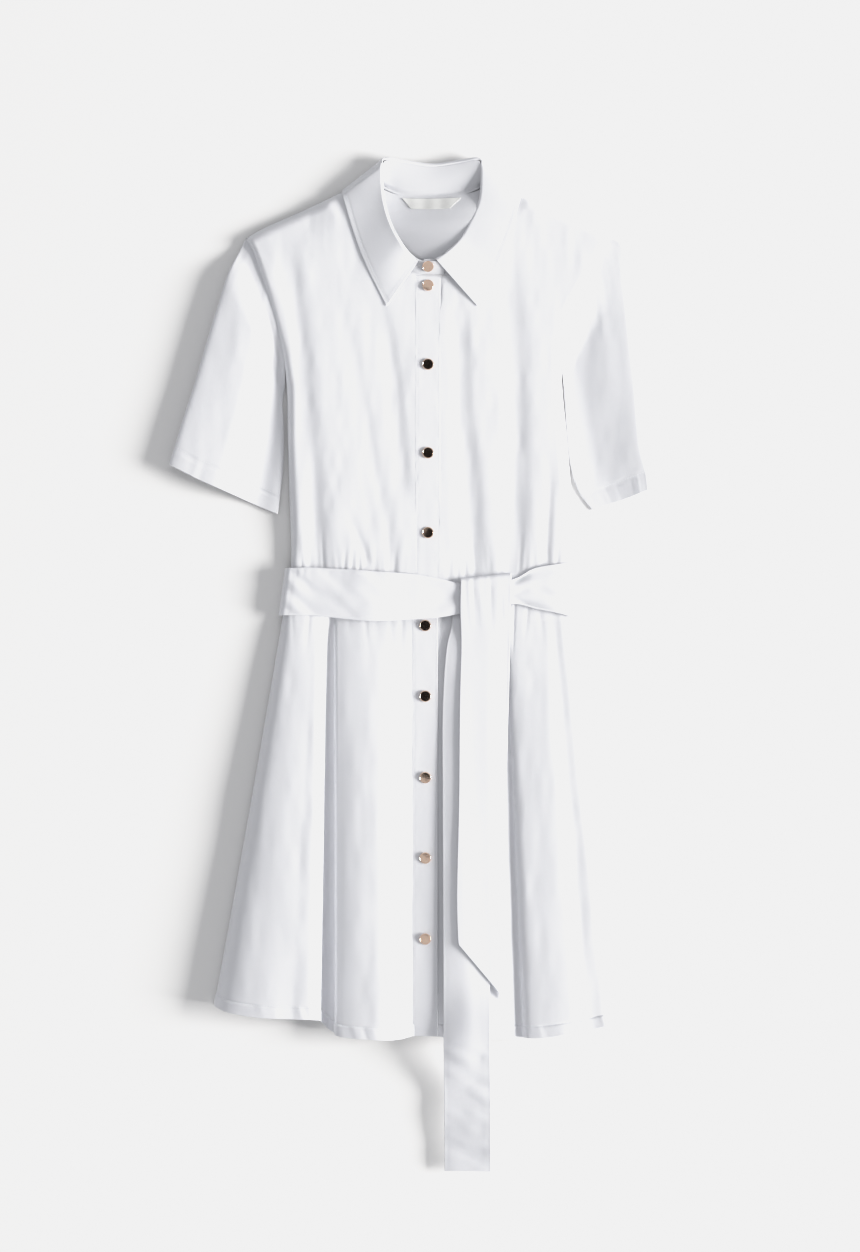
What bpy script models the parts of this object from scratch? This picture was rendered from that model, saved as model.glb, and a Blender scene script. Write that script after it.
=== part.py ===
"""Short-sleeved shirt dress with a tie belt, laid face up on a flat surface.

The origin is the waist centre on the surface, +Y points to the collar, +X to the
side of the under front, +Z up. Lengths in the tables and formulas are millimetres,
and metres only in the finished meshes. Left is -X and right is +X throughout.
"""
import bpy
import math
import numpy as np

# ---------------------------------------------------------------- driving sizes (mm)
MM = 0.001
CLOTH = 1.3                # wall of one layer of cloth with its air
GAP = 0.4                  # clearance at seams and between layers
WAIST_HALF = 145.0         # half the waist, laid flat
BODICE_RISE = 12.0         # inner height of the filled bodice
WAIST_RISE = 8.5           # inner height under the belt
BACK_HEM_Y = -428.0        # hem of the back skirt
NECK_X = 4.0               # centre of the neck opening
NECK_LIFT = 2.0            # the back rises this much over the folded collar
UNDER_COLLAR_Z = 1.25      # inner face of the collar where it lies under the back
ARM_RISE = 7.0             # inner height along the middle of an armhole
SLEEVE_WALL = 1.1
SLEEVE_WIDTH = 115.0       # typical distance across a sleeve laid flat
SLEEVE_EDGE = 3.2          # half height of a sleeve's folded edge
PLACKET_STEP = CLOTH + GAP
BUTTON_RADIUS = 5.9
BUTTON_HEIGHT = 2.8
STAND_BUTTON_SHARE = 0.64  # place of the top button up the neck band
STAND_BULGE = 1.2          # the neck band rounds out by this much
STAND_FOOT_Z = 12.0        # the neck band is pressed down above this height
STAND_KEEP_LEFT = 0.52     # share of its height over that which it keeps on the left,
STAND_KEEP_FRONT = 0.3     # at the front
STAND_KEEP_RIGHT = 0.2     # and on the right, where it lies flattest
COLLAR_OVER = 1.9          # inner face of the collar's roll over the top of the band

# ---------------------------------------------------------------- outlines (x, y)
SIDE_LEFT = [(-WAIST_HALF, 0), (-140.5, 30), (-142, 98), (-144, 160), (-145, 216),
             (-148.5, 250), (-153.5, 273), (-160.5, 299), (-171, 330), (-180, 355), (-186.5, 367)]
SIDE_RIGHT = [(150, 0), (151, 30), (149.5, 77), (146, 118), (141.5, 170), (137.5, 213),
              (136.5, 258), (141, 278), (148, 299), (156.5, 316), (167, 335), (175, 349), (185.5, 367)]
SHOULDER_LEFT = [(-186.5, 367), (-171, 376), (-132, 393.5), (-85.5, 415), (-56, 427.5)]
SHOULDER_RIGHT = [(185.5, 367), (169, 382), (136, 395.5), (115.5, 404), (86.5, 416), (64, 427.5)]
NECKLINE_LEFT = [(-12.4, 327.5), (-29, 333.5), (-41, 347), (-51.5, 367.5), (-57, 391), (-58.5, 412),
                 (-56, 427.5)]
NECKLINE_RIGHT = [(20, 327.5), (37, 333.5), (49, 347), (59.5, 367.5), (64.5, 391), (66.5, 412),
                  (64, 427.5)]
BACK_NECK = [(-56, 427.5), (-47, 418), (-28, 411.5), (4, 409.5), (36, 411.5), (55, 418), (64, 427.5)]

# Sleeves: outer edge and inner edge from the armhole down, and the hem outer to inner.
# Across the flattened tube from its outer edge, rise is the outer height of the front
# layer up to crest, low is the share of it lost by foot, and edge_power squares the edges.
# dip is a hollow beside the armhole seam, and blend the share of its length to full height.
SLEEVE_LEFT = {
    "outer": [(-189.6, 367.4), (-193.8, 355), (-205, 332), (-215.5, 300), (-227.5, 261), (-240, 218),
              (-253.5, 176), (-266, 134)],
    "inner": [(-147.0, 215), (-151.0, 201), (-150.6, 180), (-150.4, 155), (-151.2, 128), (-153.2, 104),
              (-154.5, 83.5)],
    "hem": [(-266, 134), (-250, 126), (-235, 118.5), (-204, 105), (-173, 91), (-154.5, 83.5)],
    "rise": 16.0, "crest": 0.4, "low": 0.7, "foot": 0.88, "edge_power": 0.5, "dip": 2.4, "blend": 0.22}
SLEEVE_RIGHT = {
    "outer": [(188.6, 368), (198, 362.5), (203, 340), (207, 304), (211, 263), (215.5, 221.5), (218.5, 180),
              (221.5, 150), (226.5, 129), (228.5, 109)],
    "inner": [(139.8, 213), (144.4, 199), (145.8, 170), (149, 132), (155, 109), (161.5, 97), (169, 87.5)],
    "hem": [(228.5, 109), (218.5, 105), (198, 97), (177, 90.5), (169, 87.5)],
    "rise": 17.0, "crest": 0.08, "low": 0.58, "foot": 0.95, "edge_power": 0.4, "dip": 0.0, "blend": 0.32}

# Soft folds of the bodice: x and y at top, middle and foot; half width; depth, + for a ridge.
FOLD_COLUMNS = ("name", "x_top", "y_top", "x_mid", "y_mid", "x_low", "y_low", "width", "depth")
BODICE_FOLDS = [
    ("below left collar point", -48, 300, -34, 221, -20, 110, 8.5, -1.3),
    ("left bust drape", -86, 304, -68, 201, -38, 24, 8.5, -0.7),
    ("left armhole drape", -137, 355, -122, 201, -111, 26, 12, -2.0),
    ("left armhole ridge", -160, 330, -147, 290, -139, 240, 6, 0.7),
    ("left side ridge", -126, 160, -128, 100, -129, 30, 7, 0.6),
    ("left waist gather", -79, 80, -69, 52, -59, 26, 5, -0.8),
    ("left waist tuck", -133, 70, -133, 50, -132, 24, 4, -0.7),
    ("right of the left drape", -62, 130, -50, 80, -44, 26, 6, 0.6),
    ("below right collar point", 31, 296, 38, 201, 53, 24, 11, -1.4),
    ("right armhole drape", 87, 340, 91, 201, 88, 26, 11.5, -1.8),
    ("right bust ridge", 72, 300, 76, 200, 78, 40, 9, 0.5),
    ("right side tuck", 126, 130, 124, 80, 121, 26, 4.5, -0.8),
    ("right waist gather", 13, 85, 16, 52, 20, 22, 4, -0.6)]

# Flared skirt: one row for each line that runs from the waist to the hem.
SKIRT_COLUMNS = ("name", "x_waist", "z_waist", "x_hem", "z_hem", "y_hem")
SKIRT_LEFT = [
    ("side", -WAIST_HALF, 3.3, -219.5, 1.7, -421.0),
    ("side turn", -144.0, 5.0, -217.5, 10.0, -423.0),
    ("side slope", -139.5, 7.0, -208.0, 19.5, -427.0),
    ("first rise", -129.0, 8.2, -178.0, 24.5, -432.0),
    ("first ridge", -117.0, 8.5, -142.0, 27.0, -434.0),
    ("first brow", -110.5, 8.5, -117.0, 26.0, -435.0),
    ("first edge", -107.0, 7.4, -112.0, 15.5, -436.5),
    ("into the valley", -105.0, 6.4, -109.0, 7.5, -440.0),
    ("valley", -101.0, 5.4, -103.0, 3.4, -446.0),
    ("out of the valley", -97.0, 6.0, -95.8, 6.0, -450.0),
    ("second edge", -95.0, 7.2, -94.0, 17.5, -451.5),
    ("second brow", -90.0, 7.9, -88.5, 20.3, -453.0),
    ("second rise", -74.0, 8.4, -66.0, 24.3, -455.0),
    ("second ridge", -52.0, 8.5, -46.0, 25.5, -456.0),
    ("second fall", -32.0, 8.5, -30.0, 21.5, -455.5),
    ("placket seam", -15.9, 8.5, -15.9, 18.0, -452.5)]
SKIRT_RIGHT = [
    ("under the placket", -12.0, 6.8, -12.0, 16.2, -451.5),
    ("beside the placket", 11.0, 6.8, 12.0, 15.6, -453.0),
    ("hollow", 22.0, 7.2, 24.0, 17.0, -454.0),
    ("ridge under the tails", 50.0, 8.4, 52.0, 23.0, -455.0),
    ("fall", 72.0, 8.4, 76.0, 19.0, -455.0),
    ("into the valley", 80.0, 7.9, 88.0, 13.5, -454.5),
    ("valley", 86.5, 7.4, 93.0, 11.0, -454.0),
    ("out of the valley", 91.0, 7.4, 97.0, 11.5, -454.0),
    ("third edge", 93.5, 7.9, 99.5, 15.5, -454.0),
    ("third brow", 98.0, 8.2, 104.0, 18.5, -454.5),
    ("third rise", 108.0, 8.4, 119.0, 21.0, -454.0),
    ("third ridge", 119.0, 8.5, 147.0, 23.0, -449.5),
    ("soft hollow", 128.0, 8.0, 166.0, 20.5, -446.0),
    ("side ridge", 137.0, 8.2, 184.0, 21.0, -441.5),
    ("side slope", 143.5, 7.0, 198.0, 14.0, -437.0),
    ("side turn", 149.0, 5.0, 205.0, 7.0, -434.5),
    ("side", 150.0, 3.3, 206.5, 1.7, -433.0)]

# Neck band, half of it from the front centre to the back centre: distance from the
# neck's centre line, y and z of its seam, then of its top edge, where the collar rolls.
STAND_COLUMNS = ("name", "seam_dx", "seam_y", "seam_z", "roll_dx", "roll_y", "roll_z")
STAND = [
    ("front centre", 0.0, 328.5, 12.6, 0.0, 342.5, 30.5),
    ("front", 20.0, 330.5, 12.8, 13.0, 344.0, 30.5),
    ("front quarter", 34.0, 339.3, 13.0, 24.0, 352.0, 30.5),
    ("front turn", 46.3, 352.5, 12.6, 34.0, 366.0, 30.0),
    ("low side", 55.4, 372.5, 11.4, 43.0, 384.0, 28.5),
    ("side", 60.0, 395.0, 9.4, 48.5, 405.0, 25.0),
    ("high side", 60.8, 413.0, 7.4, 50.5, 424.0, 20.0),
    ("shoulder", 56.0, 424.0, 6.2, 50.0, 444.0, 12.8),
    ("back corner", 45.0, 418.6, 4.4, 44.0, 446.5, 9.4),
    ("back quarter", 28.0, 412.6, 4.0, 28.0, 443.5, 8.4),
    ("back centre", 0.0, 410.4, 4.0, 0.0, 440.0, 8.0)]

# Collar, half of it: its roll on the stand, its outer edge, and how far it has turned
# under the back (0 on top of the fronts, 1 flat beneath the back).
COLLAR_COLUMNS = ("name", "roll_dx", "roll_y", "roll_z", "edge_dx", "edge_y", "lift", "under")
COLLAR = [
    ("front edge", 14.0, 343.0, 31.2, 46.5, 297.0, 0.6, 0.0),
    ("front quarter", 24.0, 351.5, 31.2, 55.0, 314.0, 0.5, 0.0),
    ("front turn", 34.0, 365.5, 30.7, 64.0, 332.0, 0.5, 0.0),
    ("low side", 43.0, 383.5, 29.2, 73.5, 354.0, 0.5, 0.0),
    ("side", 48.8, 404.5, 25.7, 82.5, 380.0, 0.5, 0.0),
    ("high side", 50.8, 424.0, 20.8, 89.0, 402.0, 0.5, 0.0),
    ("shoulder front", 51.0, 440.0, 14.5, 91.6, 411.0, 2.4, 0.0),
    ("shoulder edge", 51.5, 448.0, 9.5, 92.4, 416.0, 0.0, 0.5),
    ("shoulder back", 49.5, 449.0, 7.4, 90.0, 411.0, 0.0, 0.9),
    ("back corner", 44.0, 449.0, 7.0, 78.0, 402.0, 0.0, 1.0),
    ("back quarter", 28.0, 446.2, 6.6, 44.0, 394.0, 0.0, 1.0),
    ("back centre", 0.0, 442.6, 6.4, 0.0, 391.5, 0.0, 1.0)]

# Belt round the waist: upper and lower edge of each section, and the inner height.
BELT_COLUMNS = ("name", "x_upper", "y_upper", "x_lower", "y_lower", "z")
BELT = [
    ("end under the knot", 70, 6, 69, -14, 12.0),
    ("below the knot", 50, 8, 49, -17, 12.0),
    ("twist", 30, 12, 33, -19, 13.2),
    ("front left of the twist", 12, 16, 12, -22.5, 13.4),
    ("front", -12, 20.5, -10, -24.2, 14.4),
    ("left of the front", -60, 24, -58, -26, 15.6),
    ("left side front", -118, 27.5, -121, -20.6, 10.8),
    ("left side slope", -137, 27.5, -143, -20.6, 10.2),
    ("left side turn", -143.8, 27.5, -150.2, -20.6, 8.4),
    ("left edge", -146.0, 27.5, -152.6, -20.6, 4.6),
    ("left edge low", -145.4, 27.3, -151.8, -20.7, 2.0),
    ("left under", -142.0, 27, -148.4, -20.8, 1.32),
    ("back left", -120, 26, -123, -22, 1.32),
    ("back", 0, 25, 0, -24, 1.32),
    ("back right", 128, 28, 130, -22, 1.32),
    ("right under", 151.0, 32, 151.4, -22.0, 1.32),
    ("right edge low", 154.6, 32.3, 155.0, -22.2, 2.0),
    ("right edge", 155.2, 32.5, 155.8, -22.6, 4.0),
    ("right side turn", 153.0, 33, 153.6, -22.6, 7.2),
    ("right side slope", 146, 33, 147, -21.5, 9.6),
    ("right side front", 130, 31, 132, -18, 10.9),
    ("right of the knot", 108, 27, 110, -14, 12.0),
    ("right at the knot", 92, 18, 92, -9.5, 13.4),
    ("knot", 72, 11, 72, -9, 14.0),
    ("over the left end", 44, 9, 46, -15, 14.0)]

# Belt tails: left and right edge of each section down the tail, and its air over what it covers.
TAIL_COLUMNS = ("name", "x_left", "y_left", "x_right", "y_right", "lift")
TAIL_LOWER = [
    ("hidden end", 26, -2, 66, -4, 0.0),
    ("below the belt", 25, -30, 67, -32, 0.0),
    ("first pull", 20, -52, 65, -54, 0.8),
    ("upper", 15.8, -108, 62.5, -108, 2.2),
    ("middle", 15.5, -212, 62, -212, 4.6),
    ("lower", 16, -320, 62, -320, 6.2),
    ("hem", 16.4, -420, 63, -420, 6.2),
    ("past the hem", 16.5, -470, 63.5, -470, 6.6),
    ("free", 17.2, -530, 64.5, -530, 5.0),
    ("square end", 17.5, -592, 64.8, -592, 0.3)]
TAIL_UPPER = [
    ("knot", 34, 7, 85, 12.5, 0.3),
    ("under the knot", 33.5, -14, 84.5, -12, 0.3),
    ("neck of the tail", 34.5, -46, 84, -46, 0.3),
    ("upper", 33, -108, 82.4, -108, 0.3),
    ("middle", 32, -212, 79.3, -212, 0.3),
    ("lower", 30, -314, 79.3, -314, 0.3),
    ("above the point", 31, -350, 79.3, -352, 0.3),
    ("slanted point", 32, -358.5, 79.3, -415, 0.3)]

BUTTONS_BODICE = [318.0, 237.0, 146.0, 64.0]
BUTTONS_SKIRT = [-31.4, -104.0, -187.5, -270.0, -353.0]
BODICE_BUTTON_X = 0.0
SKIRT_BUTTON_X = -2.8

# ---------------------------------------------------------------- scene and materials
for old in list(bpy.data.objects):
    bpy.data.objects.remove(old, do_unlink=True)

dress = bpy.data.collections.new("shirt_dress")
bpy.context.scene.collection.children.link(dress)


def material(name, colour, roughness, metallic=0.0):
    """One Principled BSDF material, kept for reuse."""
    made = bpy.data.materials.get(name)
    if made:
        return made
    made = bpy.data.materials.new(name)
    made.use_nodes = True
    shader = made.node_tree.nodes["Principled BSDF"]
    shader.inputs["Base Color"].default_value = (*colour, 1.0)
    shader.inputs["Roughness"].default_value = roughness
    shader.inputs["Metallic"].default_value = metallic
    return made


def cotton():
    return material("white_poplin", (0.90, 0.91, 0.94), 0.85)


def gold():
    return material("gold_metal", (0.86, 0.58, 0.36), 0.18, 1.0)


def tape():
    return material("label_tape", (0.92, 0.92, 0.90), 0.6)


# ---------------------------------------------------------------- curves and grids
def spline(points, per_span):
    """Centripetal Catmull-Rom curve through the points, per_span samples a span."""
    p = np.array(points, float)
    ends = np.vstack([2 * p[0] - p[1], p, 2 * p[-1] - p[-2]])
    curve = []
    for a, b, c, d in zip(ends, ends[1:], ends[2:], ends[3:]):
        t1 = math.sqrt(max(np.linalg.norm(b - a), 1e-6))
        t2 = t1 + math.sqrt(max(np.linalg.norm(c - b), 1e-6))
        t3 = t2 + math.sqrt(max(np.linalg.norm(d - c), 1e-6))
        for t in np.linspace(t1, t2, per_span, endpoint=False):
            ab = a + (b - a) * t / t1
            bc = b + (c - b) * (t - t1) / (t2 - t1)
            cd = c + (d - c) * (t - t2) / (t3 - t2)
            abc = ab + (bc - ab) * t / t2
            bcd = bc + (cd - bc) * (t - t1) / (t3 - t1)
            curve.append(abc + (bcd - abc) * (t - t1) / (t2 - t1))
    curve.append(p[-1])
    return np.array(curve)


def along(points, places):
    """Points at the given shares (0 to 1) of the smooth curve's length."""
    curve = spline(points, 8)
    steps = np.linalg.norm(np.diff(curve, axis=0), axis=1)
    run = np.concatenate([[0], np.cumsum(steps)]) / steps.sum()
    return np.column_stack([np.interp(places, run, curve[:, k]) for k in range(curve.shape[1])])


def patch(low, top, left, right, across, up):
    """Coons patch of plan points [i][j] between four edges, i across and j upwards."""
    low_ends, top_ends = np.array([low[0], low[-1]]), np.array([top[0], top[-1]])
    low, top = along(low, across), along(top, across)
    left, right = along(left, up), along(right, up)
    s = np.array(across)[:, None, None]
    t = np.array(up)[None, :, None]
    corners = ((1 - s) * (1 - t) * low_ends[0] + s * (1 - t) * low_ends[1]
               + (1 - s) * t * top_ends[0] + s * t * top_ends[1])
    return ((1 - t) * low[:, None, :] + t * top[:, None, :]
            + (1 - s) * left[None, :, :] + s * right[None, :, :] - corners)


def shares(count, ease=1.0):
    """count + 1 shares from 0 to 1, closer together near 0 when ease is over 1."""
    return np.linspace(0, 1, count + 1) ** ease


def smooth(value):
    value = np.clip(value, 0.0, 1.0)
    return value * value * (3 - 2 * value)


def shoulder_round(distance, reach):
    """Quarter-ellipse rise from 0 at an edge to 1 at reach from it."""
    part = np.clip(distance / reach, 0.0, 1.0)
    return np.sqrt(1 - (1 - part) ** 2)


def sheet(name, grid, finish, thickness=CLOTH, facing="up"):
    """Cloth wall grown along the normals of a grid of points [i][j].

    The normals are turned up as a whole, or kept "as made", or "reversed".
    """
    points = np.array(grid, float)
    rows, columns = points.shape[:2]
    faces = []
    for i in range(rows - 1):
        for j in range(columns - 1):
            corner = i * columns + j
            faces.append((corner, corner + columns, corner + columns + 1, corner + 1))
    mesh = bpy.data.meshes.new(name)
    mesh.from_pydata((points.reshape(-1, 3) * MM).tolist(), [], faces)
    mesh.update()
    mostly_down = sum(face.normal.z * face.area for face in mesh.polygons) < 0
    if facing == "reversed" or (facing == "up" and mostly_down):
        mesh.flip_normals()
    piece = bpy.data.objects.new(name, mesh)
    dress.objects.link(piece)
    mesh.materials.append(finish)
    mesh.shade_smooth()
    wall = piece.modifiers.new("wall", "SOLIDIFY")
    wall.thickness = thickness * MM
    wall.offset = 1
    wall.use_quality_normals = True
    return piece


# ---------------------------------------------------------------- heights of the cloth
side_left = spline(SIDE_LEFT, 6)
side_right = spline(SIDE_RIGHT, 6)
shoulder_left = spline(SHOULDER_LEFT, 6)
shoulder_right = spline(SHOULDER_RIGHT, 6)
UNDERARM_Y = {"left": 216.0, "right": 213.0}
SHOULDER_TIP_Y = 367.0


def back_height(x, y):
    """Underside of the back: flat, but over the belt at the waist and the collar at the neck."""
    over_belt = smooth((58 - np.abs(y - 3)) / 26)
    over_collar = smooth((y - 368) / 18) * smooth((120 - np.abs(x - NECK_X)) / 26)
    return 1.7 * over_belt + NECK_LIFT * over_collar


def arm_height(y, side):
    """Inner height of the front along its side seam and armhole."""
    climb = np.clip((y - UNDERARM_Y[side]) / (SHOULDER_TIP_Y - UNDERARM_Y[side]), 0.0, 1.0)
    return CLOTH + GAP + back_height(0, np.minimum(y, 200)) + ARM_RISE * np.sin(math.pi * climb) ** 0.8


def bodice_height(x, y):
    """Inner height of the bodice front over the plan."""
    side = "left" if x < NECK_X else "right"
    edge = side_left if side == "left" else side_right
    top = shoulder_left if side == "left" else shoulder_right[::-1]
    from_side = abs(np.interp(y, edge[:, 1], edge[:, 0]) - x)
    from_top = np.interp(x, top[:, 0], top[:, 1]) - y
    full = WAIST_RISE + (BODICE_RISE - WAIST_RISE) * smooth((y - 26) / 60)
    low_edge = arm_height(y, side)
    height = low_edge + (full - low_edge) * shoulder_round(from_side, 26)
    seam = CLOTH + GAP + back_height(x, y)
    height = seam + (height - seam) * shoulder_round(from_top, 24)
    return height + folds(x, y, from_side, from_top)


def folds(x, y, from_side, from_top):
    """Sum of the soft folds at one place, faded out at the seams."""
    total = 0.0
    for row in BODICE_FOLDS:
        fold = dict(zip(FOLD_COLUMNS, row))
        if not fold["y_low"] - 20 < y < fold["y_top"] + 20:
            continue
        places = [fold["y_low"], fold["y_mid"], fold["y_top"]]
        centre = np.interp(y, places, [fold["x_low"], fold["x_mid"], fold["x_top"]])
        ends = smooth((fold["y_top"] + 20 - y) / 60) * smooth((y - fold["y_low"] + 20) / 30)
        total += fold["depth"] * ends * math.exp(-((x - centre) / fold["width"]) ** 2)
    seams = smooth(from_side / 14) * smooth(from_top / 20) * (0.45 + 0.55 * smooth((y - 20) / 50))
    return total * seams * smooth((abs(x) - 13.5) / 13)


def skirt_section(table, share):
    """Section of a skirt front at a share of the way from the waist to the hem."""
    rows = [dict(zip(SKIRT_COLUMNS, row)) for row in table]
    lift = max(0.0, (share - 0.062) / 0.938) ** 0.58
    bow = -4.0 * share * (1 - share)
    points = []
    for row in rows:
        x = row["x_waist"] + (row["x_hem"] - row["x_waist"]) * share
        x += math.copysign(bow, x) * abs(x) / 200
        z = row["z_waist"] + (row["z_hem"] - row["z_waist"]) * lift
        points.append((x, row["y_hem"] * share, z))
    points = np.array(points)
    side = 0 if abs(points[0][0]) > abs(points[-1][0]) else -1
    points[side][2] = CLOTH + GAP + back_height(points[side][0], points[side][1])
    return points


SKIRT_SHARES = np.array([0, 0.058, 0.075, 0.11, 0.18, 0.28, 0.4, 0.55, 0.7, 0.85, 1.0])


def skirt_height(x, y):
    """Inner height of the skirt front over the plan, for what lies on it."""
    table = SKIRT_LEFT if x < -13 else SKIRT_RIGHT
    share = min(max(-y / 454.0, 0.0), 1.0)
    section = spline(skirt_section(table, share), 3)
    order = np.argsort(section[:, 0])
    return float(np.interp(x, section[order, 0], section[order, 2]))


def front_top(x, y):
    """Outer height of the dress front at a place in plan."""
    if y < -456:
        return 0.0
    height = bodice_height(x, y) if y > 0 else skirt_height(x, y)
    return height + CLOTH


# ---------------------------------------------------------------- back
def back_panels():
    across = shares(16)
    up = np.array([0, 0.06, 0.1, 0.14, 0.3, 0.48, 0.6, 0.7, 0.8, 0.85, 0.9, 0.95, 1.0])
    inset = 0.2
    left = [(x + inset, y) for x, y in SIDE_LEFT]
    right = [(x - inset, y) for x, y in SIDE_RIGHT]
    top = [*SHOULDER_LEFT[:-1], *BACK_NECK, *SHOULDER_RIGHT[::-1][1:]]
    plan = patch([left[0], (0, 0.3), right[0]], top, left, right, across, up)
    plan[:, 0, 1] = GAP
    sheet("back_bodice", lay(plan, back_height), cotton())

    hem = [(-219.3, -421), (-120, -427), (0, BACK_HEM_Y), (120, -427), (206.3, -430)]
    down = np.array([0, 0.04, 0.075, 0.11, 0.2, 0.4, 0.6, 0.8, 1.0])
    left = [skirt_section(SKIRT_LEFT, share)[0][:2] for share in shares(6)]
    right = [skirt_section(SKIRT_RIGHT, share)[-1][:2] for share in shares(6)]
    plan = patch([left[0], (0, 0), right[0]], hem, left, right, shares(16), down)
    sheet("back_skirt", lay(plan, back_height), cotton())


def lay(plan, height, lift=0.0):
    """Plan points given their height from a function of x and y."""
    return [[(x, y, height(x, y) + lift) for x, y in line] for line in plan]


# ---------------------------------------------------------------- fronts
def front_bodice():
    up = shares(17)
    across = shares(20, 1.12)
    left_front = [(-12.8, 0), (-12.8, 150), (-12.8, 300), (-12.9, 323.5), (-14.5, 328.2), *NECKLINE_LEFT[1:]]
    plan = patch([(-WAIST_HALF, 0), (-80, 0), (-12.8, 0)], SHOULDER_LEFT, SIDE_LEFT, left_front, across, up)
    plan[:, 0, 1] = GAP
    sheet("front_bodice_left", lay(plan, bodice_height), cotton())

    under_edge = [(-9, 0), (-9, 150), (-9, 300), (-8.6, 319), (-2, 325.5), *NECKLINE_RIGHT]
    plan = patch([(150, 0), (80, 0), (-9, 0)], SHOULDER_RIGHT, SIDE_RIGHT, under_edge, across, up)
    plan[:, 0, 1] = GAP
    sheet("front_bodice_right", lay(plan, under_front_height), cotton())


def under_front_height(x, y):
    """The right front runs under the placket, so it is lower there."""
    return bodice_height(x, y) - PLACKET_STEP * smooth((27 - x) / 12)


def skirt_front(name, table):
    sections = [spline(skirt_section(table, share), 3) for share in SKIRT_SHARES]
    sheet(name, np.array(sections).transpose(1, 0, 2), cotton())


def plackets():
    across = np.linspace(-12.2, 12.4, 4)
    places = np.linspace(GAP, 325.0, 22)
    grid = [[(x, y, bodice_height(-12.4, y)) for y in places] for x in across]
    sheet("placket_bodice", grid, cotton())
    grid = []
    for step in range(4):
        line = []
        for share in SKIRT_SHARES:
            seam = skirt_section(SKIRT_LEFT, share)[-1]
            line.append((seam[0] + 0.5 + step * 8.4, seam[1], seam[2]))
        grid.append(line)
    sheet("placket_skirt", grid, cotton())


# ---------------------------------------------------------------- sleeves
def sleeve(name, cut, armhole, side):
    """Flattened tube: each ring runs over the front layer and back beneath it.

    The inner ring is set in by the wall within the ring's own plane, so that the
    walls stay apart where the tube is thin, at the underarm and the shoulder.
    """
    ring_count = 26
    down = shares(10)
    angles = np.linspace(0, 2 * math.pi, ring_count, endpoint=False)
    across = (1 - np.cos(angles)) / 2
    outer = sleeve_surface(cut, armhole, side, angles, across, down, 0.0)
    inner = sleeve_surface(cut, armhole, side, angles, across, down, SLEEVE_WALL)
    tube(name, outer, inner, cotton(), reverse=side == "left")


def sleeve_surface(cut, armhole, side, angles, across, down, inset):
    """One face of the sleeve's wall, set in from its outer face by inset."""
    inward = 0.5 + (across - 0.5) * (1 - 2 * inset / SLEEVE_WIDTH)
    order = np.argsort(inward, kind="stable")
    plan = np.zeros((len(angles), len(down), 2))
    plan[order] = patch(armhole, cut["hem"], cut["outer"], cut["inner"], inward[order], down)
    surface = np.zeros((len(angles), len(down), 3))
    for i, angle in enumerate(angles):
        rise = math.sin(angle)
        depth = min(1.0, 2.6 * abs(rise))
        for j, share in enumerate(down):
            x, y = plan[i, j]
            if rise >= 0:
                top = sleeve_top(across[i], share, y, cut, side)
                height = SLEEVE_EDGE + (top - SLEEVE_EDGE) * rise ** cut["edge_power"] - inset * depth
            else:
                height = SLEEVE_EDGE * (1 - depth) + inset * depth
            surface[i, j] = (x, y, height)
    return surface


def tube(name, outer, inner, finish, reverse):
    """Closed body between two surfaces whose points [i][j] go round with i and along with j."""
    rings, stations = outer.shape[:2]
    half = rings * stations
    faces = []
    for i in range(rings):
        near, far = i * stations, (i + 1) % rings * stations
        for j in range(stations - 1):
            faces.append((near + j, far + j, far + j + 1, near + j + 1))
            faces.append((half + near + j, half + near + j + 1, half + far + j + 1, half + far + j))
        faces.append((near, half + near, half + far, far))
        last = stations - 1
        faces.append((near + last, far + last, half + far + last, half + near + last))
    points = np.vstack([outer.reshape(-1, 3), inner.reshape(-1, 3)]) * MM
    mesh = bpy.data.meshes.new(name)
    mesh.from_pydata(points.tolist(), [], faces)
    mesh.update()
    if reverse:
        mesh.flip_normals()
    piece = bpy.data.objects.new(name, mesh)
    dress.objects.link(piece)
    mesh.materials.append(finish)
    mesh.shade_smooth()


def sleeve_top(across, share, y, cut, side):
    """Outer height of the front layer from the armhole (share 0) to the hem (1)."""
    at_seam = arm_height(y, side) + CLOTH
    fall = smooth((across - cut["crest"]) / (cut["foot"] - cut["crest"]))
    full = cut["rise"] * (1 - cut["low"] * fall)
    dip = cut["dip"] * math.exp(-((share - 0.1) / 0.06) ** 2) * smooth((at_seam - 4) / 3)
    return at_seam + (full - at_seam) * smooth(share / cut["blend"]) - dip


def sleeves():
    def shifted(edge, step):
        armhole = [point for point in edge if point[1] > 205]
        return [(x + step, y) for x, y in armhole][::-1]
    left = shifted(SIDE_LEFT, -1.4)
    right = shifted(SIDE_RIGHT, 2.0)
    sleeve("sleeve_left", SLEEVE_LEFT, [SLEEVE_LEFT["outer"][0], *left[1:-1], SLEEVE_LEFT["inner"][0]], "left")
    sleeve("sleeve_right", SLEEVE_RIGHT,
           [SLEEVE_RIGHT["outer"][0], *right[1:-1], SLEEVE_RIGHT["inner"][0]], "right")


# ---------------------------------------------------------------- collar
def both_halves(table, columns, names):
    """Smooth rows from the left front round the back to the right front."""
    rows = [[dict(zip(columns, row))[name] for name in names] for row in table]
    half = np.array(rows, float)
    left = half.copy()
    left[:, [k for k, name in enumerate(names) if name.endswith("dx")]] *= -1
    return np.vstack([left, half[-2::-1]])


def roll_height(dx, z):
    """Height of the roll once the band is pressed down, most on the right."""
    keep = STAND_KEEP_FRONT + (STAND_KEEP_LEFT - STAND_KEEP_FRONT) * smooth((-dx - 14) / 20)
    keep = keep + (STAND_KEEP_RIGHT - STAND_KEEP_FRONT) * smooth((dx - 14) / 20)
    return np.where(z > STAND_FOOT_Z, STAND_FOOT_Z + (z - STAND_FOOT_Z) * keep, z)


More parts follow.
